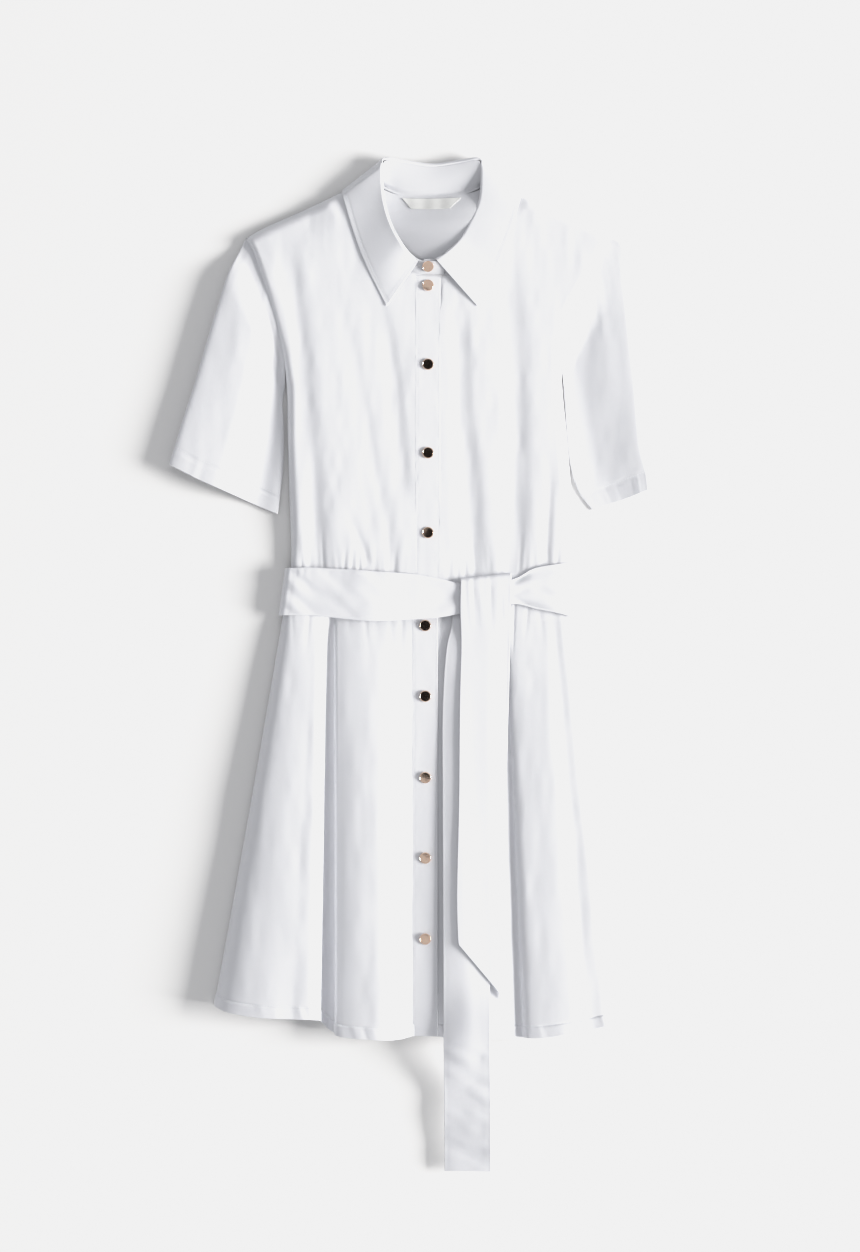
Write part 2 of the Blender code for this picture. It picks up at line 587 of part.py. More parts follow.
def collar_stand():
    names = ("seam_dx", "seam_y", "seam_z", "roll_dx", "roll_y", "roll_z")
    rows = both_halves(STAND, STAND_COLUMNS, names)
    rows[:, 5] = roll_height(rows[:, 3], rows[:, 5])
    over_end = rows[0] + [8.0, 0, 0, 8.0, 0, 0]
    tucked = rows[-1] + [9.0, 1.9, -1.4, 7.0, 1.9, -1.4]
    under_end = rows[-1] + [-10.0, 2.1, -1.6, -8.0, 2.1, -1.6]
    rows = np.vstack([over_end, rows[:-1], tucked, under_end])
    curve = spline(rows, 2)
    grid = []
    for share in np.linspace(0, 1, 4):
        bulge = STAND_BULGE * math.sin(math.pi * share)
        points = curve[:, :3] + (curve[:, 3:] - curve[:, :3]) * share
        points[:, 0] += NECK_X
        points[:, 2] += bulge
        grid.append(points)
    sheet("collar_stand", np.array(grid).transpose(1, 0, 2), cotton(), thickness=1.2, facing="as made")


def collar_fall():
    names = ("roll_dx", "roll_y", "roll_z", "edge_dx", "edge_y", "lift", "under")
    rows = spline(both_halves(COLLAR, COLLAR_COLUMNS, names), 2)
    rows[:, 2] = roll_height(rows[:, 0], rows[:, 2]) + COLLAR_OVER * smooth((rows[:, 2] - 9) / 4)
    grid = []
    for row in rows:
        roll = np.array([row[0] + NECK_X, row[1], row[2]])
        edge = np.array([row[3] + NECK_X, row[4], 0.0])
        under = min(max(row[6], 0.0), 1.0)
        on_front = max(front_top(edge[0], edge[1]), front_top(edge[0], edge[1] - 4)) + GAP + row[5]
        edge[2] = on_front * (1 - under) + UNDER_COLLAR_Z * under
        out = (edge - roll) / np.linalg.norm((edge - roll)[:2])
        line = []
        for share in (0.0, 0.07, 0.16, 0.4, 0.7, 1.0):
            top = roll + (edge - roll) * share
            sag = math.sin(math.pi * share) * 1.5
            top[2] = roll[2] + (edge[2] - roll[2]) * share ** 0.9 + sag
            beneath = roll + (edge - roll) * max(0.0, share - 0.06)
            fall = smooth(share / 0.2)
            beneath[2] = UNDER_COLLAR_Z + (roll[2] - UNDER_COLLAR_Z) * (1 - fall)
            beneath[:2] -= out[:2] * 2.5 * math.sin(math.pi * min(1.0, share / 0.2))
            line.append(top * (1 - under) + beneath * under)
        grid.append(line)
    sheet("collar_fall", grid, cotton(), thickness=1.2, facing="as made")


def neck_label():
    grid = []
    for share in np.linspace(0, 1, 9):
        top = np.array([-26.5 + 60.5 * share, 408.5 - 0.8 * math.sin(math.pi * share)])
        low = np.array([-17.5 + 40.5 * share, 397.5 - 0.6 * math.sin(math.pi * share)])
        line = []
        for step in np.linspace(0, 1, 3):
            x, y = low + (top - low) * step
            line.append((x, y, back_height(x, y) + CLOTH + GAP))
        grid.append(line)
    sheet("neck_label", grid, tape(), thickness=0.8)


# ---------------------------------------------------------------- belt
def belt_band():
    rows = [dict(zip(BELT_COLUMNS, row)) for row in BELT]
    edges = spline([[row[name] for name in BELT_COLUMNS[1:]] for row in rows], 2)
    edges[:, 4] = np.maximum(edges[:, 4], CLOTH)
    grid = []
    for share in np.linspace(0, 1, 4):
        x = edges[:, 2] + (edges[:, 0] - edges[:, 2]) * share
        y = edges[:, 3] + (edges[:, 1] - edges[:, 3]) * share
        grid.append(np.column_stack([x, y, edges[:, 4]]))
    sheet("belt_band", np.array(grid).transpose(1, 0, 2), cotton(), facing="reversed")


def tail_grid(table, ground, across_count, sampling):
    rows = [dict(zip(TAIL_COLUMNS, row)) for row in table]
    edges = spline([[row[name] for name in TAIL_COLUMNS[1:]] for row in rows], sampling)
    grid = []
    for share in np.linspace(0, 1, across_count):
        line = []
        for x_left, y_left, x_right, y_right, lift in edges:
            x = x_left + (x_right - x_left) * share
            y = y_left + (y_right - y_left) * share
            line.append((x, y, ground(x, y) + GAP + stand_off(x, y, lift)))
        grid.append(line)
    return grid


def bridged(x, y):
    """Highest point of the front near a place: cloth laid on it spans the small hollows."""
    return max(front_top(x + step, y + rise) for step in (-7, -3.5, 0, 3.5, 7) for rise in (-5, 0, 5))


def lower_ground(x, y):
    """What the lower tail lies on: the skirt, then the surface past the hem."""
    if y > -14:
        return WAIST_RISE + CLOTH
    slope = smooth((y + 540) / 84)
    on_skirt = bridged(x, max(y, -448))
    ripple = 1.6 * (1 - math.cos((y + 456) / 19 + x / 40)) * smooth((-470 - y) / 30) * smooth((y + 600) / 40)
    return on_skirt * slope + ripple if y < -456 else on_skirt


def stand_off(x, y, lift):
    """Air under a tail: most along its left edge, and even past the hem."""
    return lift * (1 - 0.75 * smooth((x - 16) / 47) * smooth((y + 520) / 60))


def upper_ground(x, y):
    """What the upper tail lies on: the knot, then the lower tail and the skirt."""
    knot = 14.0 + CLOTH + GAP
    places = [-row[2] for row in TAIL_LOWER]
    lift = np.interp(-y, places, [row[5] for row in TAIL_LOWER])
    over_tail = max(lower_ground(x + step, y) for step in (-6, 0, 6)) + CLOTH + GAP + 0.5
    over_tail += stand_off(x, y, lift)
    beside = bridged(x, y)
    share = smooth((82 - x) / 12)
    hanging = over_tail * share + max(beside, over_tail - 2.2) * (1 - share)
    return knot + (hanging - knot) * smooth((-16 - y) / 44)


def belt_tails():
    sheet("belt_tail_lower", tail_grid(TAIL_LOWER, lower_ground, 5, 3), cotton())
    grid = np.array(tail_grid(TAIL_UPPER, upper_ground, 5, 3))
    start = grid[:, 0, :]
    turn = []
    for rise, step in ((0.0, 6.0), (-1.2, 8.2), (-3.0, 8.9), (-4.6, 7.6)):
        ring = start.copy()
        ring[:, 1] += step
        ring[:, 2] += rise
        turn.append(ring)
    grid = np.concatenate([np.array(turn[::-1]).transpose(1, 0, 2), grid], axis=1)
    sheet("belt_tail_upper", grid, cotton())


# ---------------------------------------------------------------- buttons
def button(number, place, tilt=0.0):
    """Turned domed cap with a rolled rim, its underside just above the cloth."""
    profile = [(0, 0), (0.8, 0), (1.0, 0.3), (0.96, 0.66), (0.84, 0.78), (0.45, 0.97), (0, 1.03)]
    outline = [(radius * BUTTON_RADIUS * MM, 0, height * BUTTON_HEIGHT * MM) for radius, height in profile]
    mesh = bpy.data.meshes.new(f"button_{number:02d}")
    mesh.from_pydata(outline[::-1], [(k, k + 1) for k in range(len(outline) - 1)], [])
    piece = bpy.data.objects.new(mesh.name, mesh)
    dress.objects.link(piece)
    mesh.materials.append(gold())
    turned = piece.modifiers.new("turned", "SCREW")
    turned.steps = 12
    turned.render_steps = 12
    turned.use_merge_vertices = True
    turned.merge_threshold = 0.00002
    piece.location = [value * MM for value in place]
    piece.rotation_euler = (math.radians(tilt), 0, 0)
    return piece


def button_on_stand():
    """The top button lies square on the neck band's sloping front."""
    front = dict(zip(STAND_COLUMNS, STAND[0]))
    run = front["roll_y"] - front["seam_y"]
    rise = float(roll_height(0.0, front["roll_z"])) - front["seam_z"]
    slant = math.atan2(rise, run)
    y = front["seam_y"] + run * STAND_BUTTON_SHARE - GAP * math.sin(slant)
    z = front["seam_z"] + rise * STAND_BUTTON_SHARE + GAP * math.cos(slant)
    z += STAND_BULGE * math.sin(math.pi * STAND_BUTTON_SHARE) + STAND_BULGE * 0.2
    button(1, (BODICE_BUTTON_X, y, z), math.degrees(slant))


def buttons():
    button_on_stand()
    number = 2
    for y in BUTTONS_BODICE:
        button(number, (BODICE_BUTTON_X, y, bodice_height(-12.4, y) + CLOTH + GAP))
        number += 1
    for y in BUTTONS_SKIRT:
        seam = skirt_section(SKIRT_LEFT, -y / 452.5)[-1]
        button(number, (SKIRT_BUTTON_X, y, seam[2] + CLOTH + GAP + 0.2))
        number += 1


back_panels()
front_bodice()
skirt_front("front_skirt_left", SKIRT_LEFT)
skirt_front("front_skirt_right", SKIRT_RIGHT)
plackets()
sleeves()
collar_stand()
collar_fall()
neck_label()
belt_band()
belt_tails()
buttons()
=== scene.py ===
import math

import bpy
import numpy as np
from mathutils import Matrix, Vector


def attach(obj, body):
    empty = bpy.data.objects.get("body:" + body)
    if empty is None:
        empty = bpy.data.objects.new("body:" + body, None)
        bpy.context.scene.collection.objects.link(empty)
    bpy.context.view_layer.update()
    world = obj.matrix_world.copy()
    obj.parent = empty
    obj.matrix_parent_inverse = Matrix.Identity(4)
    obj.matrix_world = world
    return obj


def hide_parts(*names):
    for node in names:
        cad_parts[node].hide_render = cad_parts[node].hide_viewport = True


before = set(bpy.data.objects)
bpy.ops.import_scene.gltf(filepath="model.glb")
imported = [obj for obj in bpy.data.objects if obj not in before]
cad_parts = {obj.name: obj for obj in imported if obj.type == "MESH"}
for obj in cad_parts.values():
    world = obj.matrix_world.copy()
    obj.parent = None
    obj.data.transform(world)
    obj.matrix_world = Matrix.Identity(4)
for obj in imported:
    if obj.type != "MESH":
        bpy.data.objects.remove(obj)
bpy.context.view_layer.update()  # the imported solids, a fixed frame for everything below
print("frame loaded with", len(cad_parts), "nodes")

# Tables and heights are millimetres, and become metres in the finished meshes.
# The origin is the waist centre on the table, +Y points to the collar, left is -X.
mm = 0.001
cadCloth = 1.3        # wall of the solid that a cloth piece stands for
gap = 0.4             # clearance between layers
neckX = 4.0           # centre of the neck opening


def spline(points, perSpan):
    # centripetal curve through the points, perSpan samples a span
    p = np.array(points, float)
    ends = np.vstack([2 * p[0] - p[1], p, 2 * p[-1] - p[-2]])
    curve = []
    for a, b, c, d in zip(ends, ends[1:], ends[2:], ends[3:]):
        t1 = math.sqrt(max(np.linalg.norm(b - a), 1e-6))
        t2 = t1 + math.sqrt(max(np.linalg.norm(c - b), 1e-6))
        t3 = t2 + math.sqrt(max(np.linalg.norm(d - c), 1e-6))
        t = np.linspace(t1, t2, perSpan, endpoint=False)[:, None]
        ab = a + (b - a) * t / t1
        bc = b + (c - b) * (t - t1) / (t2 - t1)
        cd = c + (d - c) * (t - t2) / (t3 - t2)
        abc = ab + (bc - ab) * t / t2
        bcd = bc + (cd - bc) * (t - t1) / (t3 - t1)
        curve.append(abc + (bcd - abc) * (t - t1) / (t2 - t1))
    return np.vstack([*curve, p[-1:]])


def along(points, places):
    # points at shares 0 to 1 of the smooth curve's length
    curve = spline(points, 12)
    run = np.concatenate([[0], np.cumsum(np.linalg.norm(np.diff(curve, axis=0), axis=1))])
    return np.column_stack([np.interp(places, run / run[-1], curve[:, k]) for k in range(curve.shape[1])])


def patch(low, top, left, right, across, up):
    # plan points [i][j] between four edges, i across and j upwards
    lowEnds, topEnds = np.array([low[0], low[-1]]), np.array([top[0], top[-1]])
    low, top = along(low, across), along(top, across)
    left, right = along(left, up), along(right, up)
    s, t = np.array(across)[:, None, None], np.array(up)[None, :, None]
    corners = ((1 - s) * (1 - t) * lowEnds[0] + s * (1 - t) * lowEnds[1]
               + (1 - s) * t * topEnds[0] + s * t * topEnds[1])
    return ((1 - t) * low[:, None, :] + t * top[:, None, :]
            + (1 - s) * left[None, :, :] + s * right[None, :, :] - corners)


def stations(*spans):
    # places in spans of (from, to, count), the last one with its end
    places = [np.linspace(*span, endpoint=False) for span in spans[:-1]]
    return np.concatenate([*places, np.linspace(*spans[-1])])


def mix(first, second, share):
    return first + (second - first) * share


def smooth(value):
    value = np.clip(value, 0.0, 1.0)
    return value * value * (3 - 2 * value)


def ramp(value, start, end):
    # soft step, 0 at start and 1 at end
    return smooth((value - start) / (end - start))


def bell(distance, width):
    return np.exp(-(distance / width) ** 2)


def roundRise(distance, reach):
    # quarter ellipse from 0 at an edge to 1 at reach from it
    return np.sqrt(1 - (1 - np.clip(distance / reach, 0.0, 1.0)) ** 2)


def between(lattice, u, v, fade):
    # values between the points of a lattice, which repeats past its ends
    i, j = np.floor(u).astype(int), np.floor(v).astype(int)
    fu, fv = fade(u - i), fade(v - j)
    wide, deep = lattice.shape
    low, high = (lattice[i % wide, row % deep] * (1 - fu) + lattice[(i + 1) % wide, row % deep] * fu
                 for row in (j, j + 1))
    return low * (1 - fv) + high * fv


def softNoise(x, y, cellX, cellY, seed):
    # smooth unevenness from -1 to 1, the same each run
    size, middle = 48, 500.5
    lattice = np.random.default_rng(seed).uniform(-1, 1, (size, size))
    u, v = np.broadcast_arrays(np.asarray(x, float) / cellX + middle, np.asarray(y, float) / cellY + middle)
    return between(lattice, u, v, smooth)


def rumple(x, y, coarse, fine, share, seed):
    return softNoise(x, y, *coarse, seed) + share * softNoise(x, y, *fine, seed + 1)


def addNode(tree, kind, settings, sockets, output=0):
    # a node with its settings, a colour ramp's stops among them, then its sockets, each a value or
    # the output that feeds it
    made = tree.nodes.new(kind)
    for name, value in settings.items():
        if name == "stops":
            for stop, (place, colour) in zip(made.color_ramp.elements, value):
                stop.position = place
                stop.color = colour
        else:
            setattr(made, name, value)
    for name, value in sockets.items():
        if isinstance(value, bpy.types.NodeSocket):
            tree.links.new(value, made.inputs[name])
        else:
            made.inputs[name].default_value = value
    return made.outputs[output]


# Shader maths: a wrapped socket, so that plain expressions add Math nodes.
class Wire:
    def __init__(self, surface, socket):
        self.surface, self.socket = surface, socket

    def maths(self, operation, first, second):
        return self.surface.node("ShaderNodeMath", {"operation": operation}, {0: first, 1: second})

    def __add__(self, other):
        return self.maths("ADD", self, other)

    def __radd__(self, other):
        return self.maths("ADD", other, self)

    def __mul__(self, other):
        return self.maths("MULTIPLY", self, other)

    def __rmul__(self, other):
        return self.maths("MULTIPLY", other, self)

    def sine(self):
        return self.surface.node("ShaderNodeMath", {"operation": "SINE"}, {0: self})


class Surface:
    def __init__(self, name, **constants):
        self.material = bpy.data.materials.new(name)
        self.material.use_nodes = True
        self.tree = self.material.node_tree
        self.shader = self.tree.nodes["Principled BSDF"]
        for socket, value in constants.items():
            self.shader.inputs[socket.replace("_", " ")].default_value = value

    def node(self, kind, settings, sockets, output=0):
        fed = {name: getattr(value, "socket", value) for name, value in sockets.items()}
        return Wire(self, addNode(self.tree, kind, settings, fed, output))

    def feed(self, socket, wire):
        self.tree.links.new(wire.socket, self.shader.inputs[socket])

    def blend(self, factor, first, second):
        return self.node("ShaderNodeMix", {"data_type": "RGBA"}, {0: factor, 6: first, 7: second}, 2)

    def bump(self, height, strength, distance):
        self.feed("Normal", self.node("ShaderNodeBump", {}, {"Height": height, "Strength": strength,
                                                            "Distance": distance}))

    def place(self):
        return self.node("ShaderNodeTexCoord", {}, {}, 3)  # Object coordinates

    def grain(self):
        return self.node("ShaderNodeUVMap", {"uv_map": "grain"}, {})

    def split(self, vector, axis):
        return self.node("ShaderNodeSeparateXYZ", {}, {0: vector}, axis)

    def noise(self, vector, scale, detail=2.0):
        return self.node("ShaderNodeTexNoise", {}, {"Vector": vector, "Scale": scale, "Detail": detail})


def dulled(colour, share):
    return tuple(value * share for value in colour[:3]) + (1,)


poplinLook = {
    "white": (0.768, 0.773, 0.798, 1), "shade": (0.730, 0.736, 0.765, 1),
    "pitchAcross": 0.42 * mm, "pitchAlong": 0.55 * mm, "slubLength": 9.0 * mm, "slubWidth": 0.7 * mm,
    "roughness": 0.80, "roughVary": 0.12, "sheen": 0.12, "sheenRoughness": 0.45, "gloss": 0.25,
    "bleed": 0.3, "bleedReach": 1.6 * mm, "bleedTint": (1.0, 0.98, 0.95),
    "mottle": 55.0, "bump": 0.00009, "bumpStrength": 0.45}


# paintedShading darkens a copy of the cloth evenly, as painted shade; 1.0 leaves it as it is
def poplin(name, paintedShading):
    look = poplinLook
    cloth = Surface(name, Roughness=look["roughness"], Sheen_Weight=look["sheen"],
                    Sheen_Roughness=look["sheenRoughness"], Specular_IOR_Level=look["gloss"],
                    Subsurface_Weight=look["bleed"], Subsurface_Radius=look["bleedTint"],
                    Subsurface_Scale=look["bleedReach"])
    grain = cloth.grain()
    u, v = cloth.split(grain, 0), cloth.split(grain, 1)
    weave = ((u * (math.tau / look["pitchAcross"])).sine()
             * (v * (math.tau / look["pitchAlong"])).sine()) * 0.5 + 0.5
    slubs = []
    fine, long = 1 / look["slubWidth"], 1 / look["slubLength"]
    for stretch in ((long, fine, 1), (fine, long, 1)):
        turned = cloth.node("ShaderNodeVectorMath", {"operation": "MULTIPLY"}, {0: grain, 1: stretch})
        slubs.append(cloth.node("ShaderNodeTexNoise", {"noise_dimensions": "2D"},
                                {"Vector": turned, "Scale": 1.0, "Detail": 2.0, "Roughness": 0.6}))
    mottle = cloth.noise(cloth.place(), look["mottle"], 3.0)
    threads = (slubs[0] + slubs[1]) * 0.5
    tone = threads * 0.75 + mottle * 0.25
    cloth.feed("Base Color", cloth.blend(tone, dulled(look["shade"], paintedShading), dulled(look["white"], paintedShading)))
    cloth.feed("Roughness", look["roughness"] - look["roughVary"] / 2 + tone * look["roughVary"])
    cloth.bump(weave * 0.45 + threads * 0.9 + mottle * 0.25, look["bumpStrength"], look["bump"])
    return cloth.material


threadLook = {"white": (0.84, 0.85, 0.88, 1), "shade": (0.74, 0.75, 0.79, 1), "twist": 0.5 * mm}


def sewingThread():
    thread = Surface("white_thread", Roughness=0.62, Sheen_Weight=0.1)
    plies = thread.node("ShaderNodeTexWave", {"bands_direction": "DIAGONAL"},
                        {"Vector": thread.place(), "Scale": 0.5 / threadLook["twist"], "Distortion": 0.4})
    thread.feed("Base Color", thread.blend(plies, threadLook["shade"], threadLook["white"]))
    thread.feed("Roughness", 0.55 + plies * 0.15)
    return thread.material


goldLook = {"rose": (0.94, 0.65, 0.51, 1), "pale": (0.98, 0.78, 0.61, 1), "polish": 0.10,
            "clouds": 260.0, "hairlines": 2400.0, "bump": 0.00012}


def roseGold():
    gold = Surface("rose_gold", Metallic=1.0, Roughness=goldLook["polish"])
    place = gold.place()
    cloud, hairlines = gold.noise(place, goldLook["clouds"], 3.0), gold.noise(place, goldLook["hairlines"])
    gold.feed("Base Color", gold.blend(cloud, goldLook["rose"], goldLook["pale"]))
    gold.feed("Roughness", goldLook["polish"] - 0.04 + cloud * 0.05 + hairlines * 0.04)
    gold.bump(cloud, 0.6, goldLook["bump"])
    return gold.material


tapeLook = {"white": (0.80, 0.80, 0.78, 1), "shade": (0.72, 0.72, 0.70, 1), "rib": 0.35 * mm,
            "bump": 0.00005}


def satinTape():
    tape = Surface("satin_tape", Roughness=0.45, Sheen_Weight=0.2, Specular_IOR_Level=0.4)
    grain = tape.grain()
    ribs = (tape.split(grain, 1) * (math.tau / tapeLook["rib"])).sine() * 0.5 + 0.5
    cloud = tape.node("ShaderNodeTexNoise", {"noise_dimensions": "2D"}, {"Vector": grain, "Scale": 300.0})
    tape.feed("Base Color", tape.blend(ribs * 0.4 + cloud * 0.6, tapeLook["shade"], tapeLook["white"]))
    tape.feed("Roughness", 0.36 + cloud * 0.16)
    tape.bump(ribs, 0.3, tapeLook["bump"])
    return tape.material


# the second copy is the same poplin at 0.90 brightness: painted shade for the inside of the neck, worn by
# the back and the neck band
cotton, cottonPaintedShade = poplin("white_poplin", 1.0), poplin("white_poplin_painted_shade", 0.90)
thread, gold, tape = sewingThread(), roseGold(), satinTape()
print("materials made")


def link(name, data):
    item = bpy.data.objects.new(name, data)
    bpy.context.scene.collection.objects.link(item)
    return item


def meshOf(name, points, edges, faces):
    # a mesh from points in millimetres
    mesh = bpy.data.meshes.new(name)
    mesh.from_pydata((np.asarray(points) * mm).tolist(), edges, faces)
    return mesh


def plainMesh(host):
    # what a host's modifiers make of it, as a mesh of its own; the host goes
    view = bpy.context.evaluated_depsgraph_get()
    mesh = bpy.data.meshes.new_from_object(host.evaluated_get(view))
    bpy.data.objects.remove(host)
    return mesh


def wear(piece, node):
    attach(piece, "root")
    if node:
        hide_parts(node)


def corners(grid):
    # the four corners of each cell of a grid, as rows of cells
    cells = np.stack([grid[:-1, :-1], grid[1:, :-1], grid[1:, 1:], grid[:-1, 1:]], axis=2)
    return cells.reshape(-1, 4, *grid.shape[2:])


def unit(vectors):
    return vectors / np.maximum(np.linalg.norm(vectors, axis=-1, keepdims=True), 1e-9)


def runs(grid, axis):
    # length run along a grid's lines, from 0
    steps = np.linalg.norm(np.diff(grid, axis=axis), axis=-1)
    zero = np.zeros_like(np.take(steps, [0], axis=axis))
    return np.concatenate([zero, np.cumsum(steps, axis=axis)], axis=axis)


def toEnd(grid):
    # length left to run to the far end of each line
    run = runs(grid, 1)
    return run[:, -1:] - run


def fromSides(grid):
    # distance from the nearer long side of a grid
    return np.minimum(runs(grid, 0), runs(grid[::-1], 0)[::-1])


def closedPiece(name, node, points, outerIds, innerIds, uv, finish, flip):
    # a shell from its points, the point numbers of its two sides, and the lie of its grain
    faces = np.vstack([corners(outerIds), corners(innerIds)[:, ::-1]])
    uvs = np.vstack([corners(uv), corners(uv)[:, ::-1]]) * mm
    if flip:
        faces, uvs = faces[:, ::-1], uvs[:, ::-1]
    mesh = meshOf(name, np.vstack(points), [], faces.tolist())
    mesh.uv_layers.new(name="grain").data.foreach_set("uv", uvs.ravel())
    mesh.materials.append(finish)
    mesh.shade_smooth()
    wear(link(name, mesh), node)


rimLook = {"near": 0.12, "bulge": 0.38}  # where the line close to a border lies, how far the rim stands out


def withBorders(lay, axis):
    # an extra line close to both borders keeps the rounded rim narrow
    lines = np.moveaxis(lay, axis, 0)
    near = rimLook["near"]
    low, high = lines[0] * (1 - near) + lines[1] * near, lines[-1] * (1 - near) + lines[-2] * near
    return np.moveaxis(np.concatenate([lines[:1], [low], lines[1:-1], [high], lines[-1:]]), 0, axis)


def padded(grid):
    return np.pad(grid, ((1, 1), (1, 1), (0, 0)), mode="edge")


def clothShell(name, node, grid, wall, finish, out=1.0):
    # closed cloth with a rounded rim, grown by the wall from inner points [i][j]
    grid = np.asarray(grid, float)
    lay = np.dstack([grid, np.broadcast_to(np.asarray(wall, float), grid.shape[:2])])
    lay = withBorders(withBorders(lay, 0), 1)
    grid, wall = lay[..., :3], lay[..., 3:]
    across, up = np.gradient(grid, axis=0), np.gradient(grid, axis=1)
    outer = grid + unit(np.cross(across, up)) * out * wall
    reach = padded(wall) * rimLook["bulge"]
    rim = padded((grid + outer) / 2)
    outUp, outAcross = padded(unit(up)) * reach, padded(unit(across)) * reach
    rim[:, 0] -= outUp[:, 0]
    rim[:, -1] += outUp[:, -1]
    rim[0] -= outAcross[0]
    rim[-1] += outAcross[-1]
    border = np.ones(rim.shape[:2], bool)
    border[1:-1, 1:-1] = False
    outerIds = np.zeros(border.shape, int)
    outerIds[border] = 2 * wall.size + np.arange(border.sum())
    innerIds = outerIds.copy()
    outerIds[~border] = np.arange(wall.size)
    innerIds[~border] = wall.size + np.arange(wall.size)
    lay = padded(grid)
    u, v = runs(lay, 0), runs(lay, 1)
    half = u.shape[0] // 2
    uv = np.dstack([u - u[half], np.broadcast_to(v[half], u.shape)])
    points = [outer.reshape(-1, 3), grid.reshape(-1, 3), rim[border]]
    closedPiece(name, node, points, outerIds, innerIds, uv, finish, out < 0)
    return outer


def edgeLine(outer, edge, distance):
    # the line on a piece's outer face that keeps a distance from one of its edges
    lines = {"first": outer, "last": outer[::-1], "top": outer[:, ::-1].transpose(1, 0, 2)}[edge]
    run = runs(lines, 0)
    return np.array([[np.interp(distance, run[:, k], lines[:, k, axis]) for axis in range(3)]
                     for k in range(lines.shape[1])])


seamLines = {}  # sewing lines for each stitched piece


def sewLater(name, *lines):
    seamLines.setdefault(name, []).extend(lines)


# Outlines in plan, from the waist up.
waistHalf = 145.0
sideLeft = [(-waistHalf, 0), (-140.5, 30), (-142, 98), (-144, 160), (-145, 216), (-148.5, 250),
            (-153.5, 273), (-160.5, 299), (-171, 330), (-180, 355), (-186.5, 367)]
sideRight = [(150, 0), (151, 30), (149.5, 77), (146, 118), (141.5, 170), (137.5, 213), (136.5, 258),
             (141, 278), (148, 299), (156.5, 316), (167, 335), (175, 349), (185.5, 367)]
shoulderLeft = [(-186.5, 367), (-171, 376), (-132, 393.5), (-85.5, 415), (-56, 427.5)]
shoulderRight = [(185.5, 367), (169, 382), (136, 395.5), (115.5, 404), (86.5, 416), (64, 427.5)]
necklineLeft = [(-29, 333.5), (-41, 347), (-51.5, 367.5), (-57, 391), (-58.5, 412), (-56, 427.5)]
necklineRight = [(49, 347), (59.5, 367.5), (64.5, 391), (66.5, 412), (64, 427.5)]
backNeck = [(-56, 427.5), (-47, 418), (-28, 411.5), (4, 409.5), (36, 411.5), (55, 418), (64, 427.5)]
leftEdge, rightEdge = spline(sideLeft, 8), spline(sideRight, 8)
leftShoulder, rightShoulder = spline(shoulderLeft, 8), spline(shoulderRight, 8)[::-1]

bodice = {
    "wall": 0.7, "rows": 176, "linesLeft": ((0, 0.965, 98), (0.965, 1, 13)),
    "linesRight": ((0, 0.842, 88), (0.842, 0.884, 16), (0.884, 1, 8)),
    "rise": 12.0, "waistRise": 11.0, "armRise": 8.0, "armPower": 0.55, "tipY": 367.0,
    "underarmLeftY": 216.0, "underarmRightY": 213.0, "overBelt": 1.7, "overCollar": 2.0,
    "sideRound": 11.0, "tipRound": 5.0, "tipFall": 2.6, "shoulderRound": 31.0, "shoulderCrisp": 12.0,
    "seamDip": 0.3, "rightDip": 0.9, "unevenness": 0.32, "foldHigh": 0.2, "foldLow": 0.31,
    "gathers": 0.55, "tuckLeft": 1.5, "tuckRight": 1.3, "tuckBand": 1.5, "seamAllowance": 2.2}

# Soft folds: course at top, middle and foot as x and y; half width at top and foot; depth, + for a
# ridge; lean, which makes the right flank steeper when it is over 0. Left: under the collar point,
# bust, armhole, side, waist. Right: under the collar point, armhole, bust, side, waist.
bodiceFolds = [
    (-42, 300, -28, 221, -14, 110, 9, 11, -5.6, 0.2), (-80, 304, -62, 201, -32, 24, 9, 8, -2.6, 0.2),
    (-134, 355, -118, 201, -103, 26, 13, 18, -8.6, 0.3),
    (-160, 330, -147, 290, -139, 240, 5, 6, 3.0, 0.0), (-126, 160, -128, 100, -129, 30, 7, 7, 2.0, 0.0),
    (-75, 80, -65, 52, -55, 26, 5, 4.5, -2.6, 0.0), (-130, 70, -130, 50, -129, 24, 4, 4, -2.2, 0.0),
    (-62, 130, -50, 80, -44, 26, 6, 6, 2.0, 0.0), (38, 296, 44, 201, 59, 24, 13, 14, -8.4, 0.2),
    (95, 340, 99, 201, 96, 26, 15, 15, -8.4, 0.2), (72, 300, 76, 200, 78, 40, 9, 9, 2.0, 0.0),
    (129, 130, 127, 80, 124, 26, 4.5, 4.5, -2.8, 0.0), (16, 85, 19, 52, 23, 22, 4, 4, -2.2, 0.0)]


def backHeight(x, y):
    # underside of the back: flat, but over the belt at the waist and the collar at the neck
    overBelt = ramp(np.abs(y - 3), 58, 32)
    overCollar = ramp(y, 368, 386) * ramp(np.abs(x - neckX), 120, 94)
    return bodice["overBelt"] * overBelt + bodice["overCollar"] * overCollar


def armHeight(y, underarmY):
    # inner height of the front along its side seam and armhole
    climb = np.clip((y - underarmY) / (bodice["tipY"] - underarmY), 0.0, 1.0)
    lifted = bodice["armRise"] * np.maximum(np.sin(math.pi * climb), 0.0) ** bodice["armPower"]
    return cadCloth + gap + backHeight(0 * y, np.minimum(y, 200)) + lifted


def foldHeight(x, y):
    total = np.zeros(np.broadcast(x, y).shape)
    # each course is the parabola through its three places
    for xTop, top, xMid, mid, xLow, low, wideTop, wideLow, depth, lean in bodiceFolds:
        place = np.clip(y, low - 20, top + 20)
        centre = (xLow * (place - mid) * (place - top) / ((low - mid) * (low - top))
                  + xMid * (place - low) * (place - top) / ((mid - low) * (mid - top))
                  + xTop * (place - low) * (place - mid) / ((top - low) * (top - mid)))
        width = mix(wideLow, wideTop, np.clip((y - low) / (top - low), 0, 1))
        away = x - centre + 0.7 * width * (depth < 0)
        width = width * (1 - lean * np.tanh(away / width))
        ends = ramp(y, top + 20, top - 40) * ramp(y, low - 20, low + 10)
        total += depth * ends * bell(away, width)
    return total


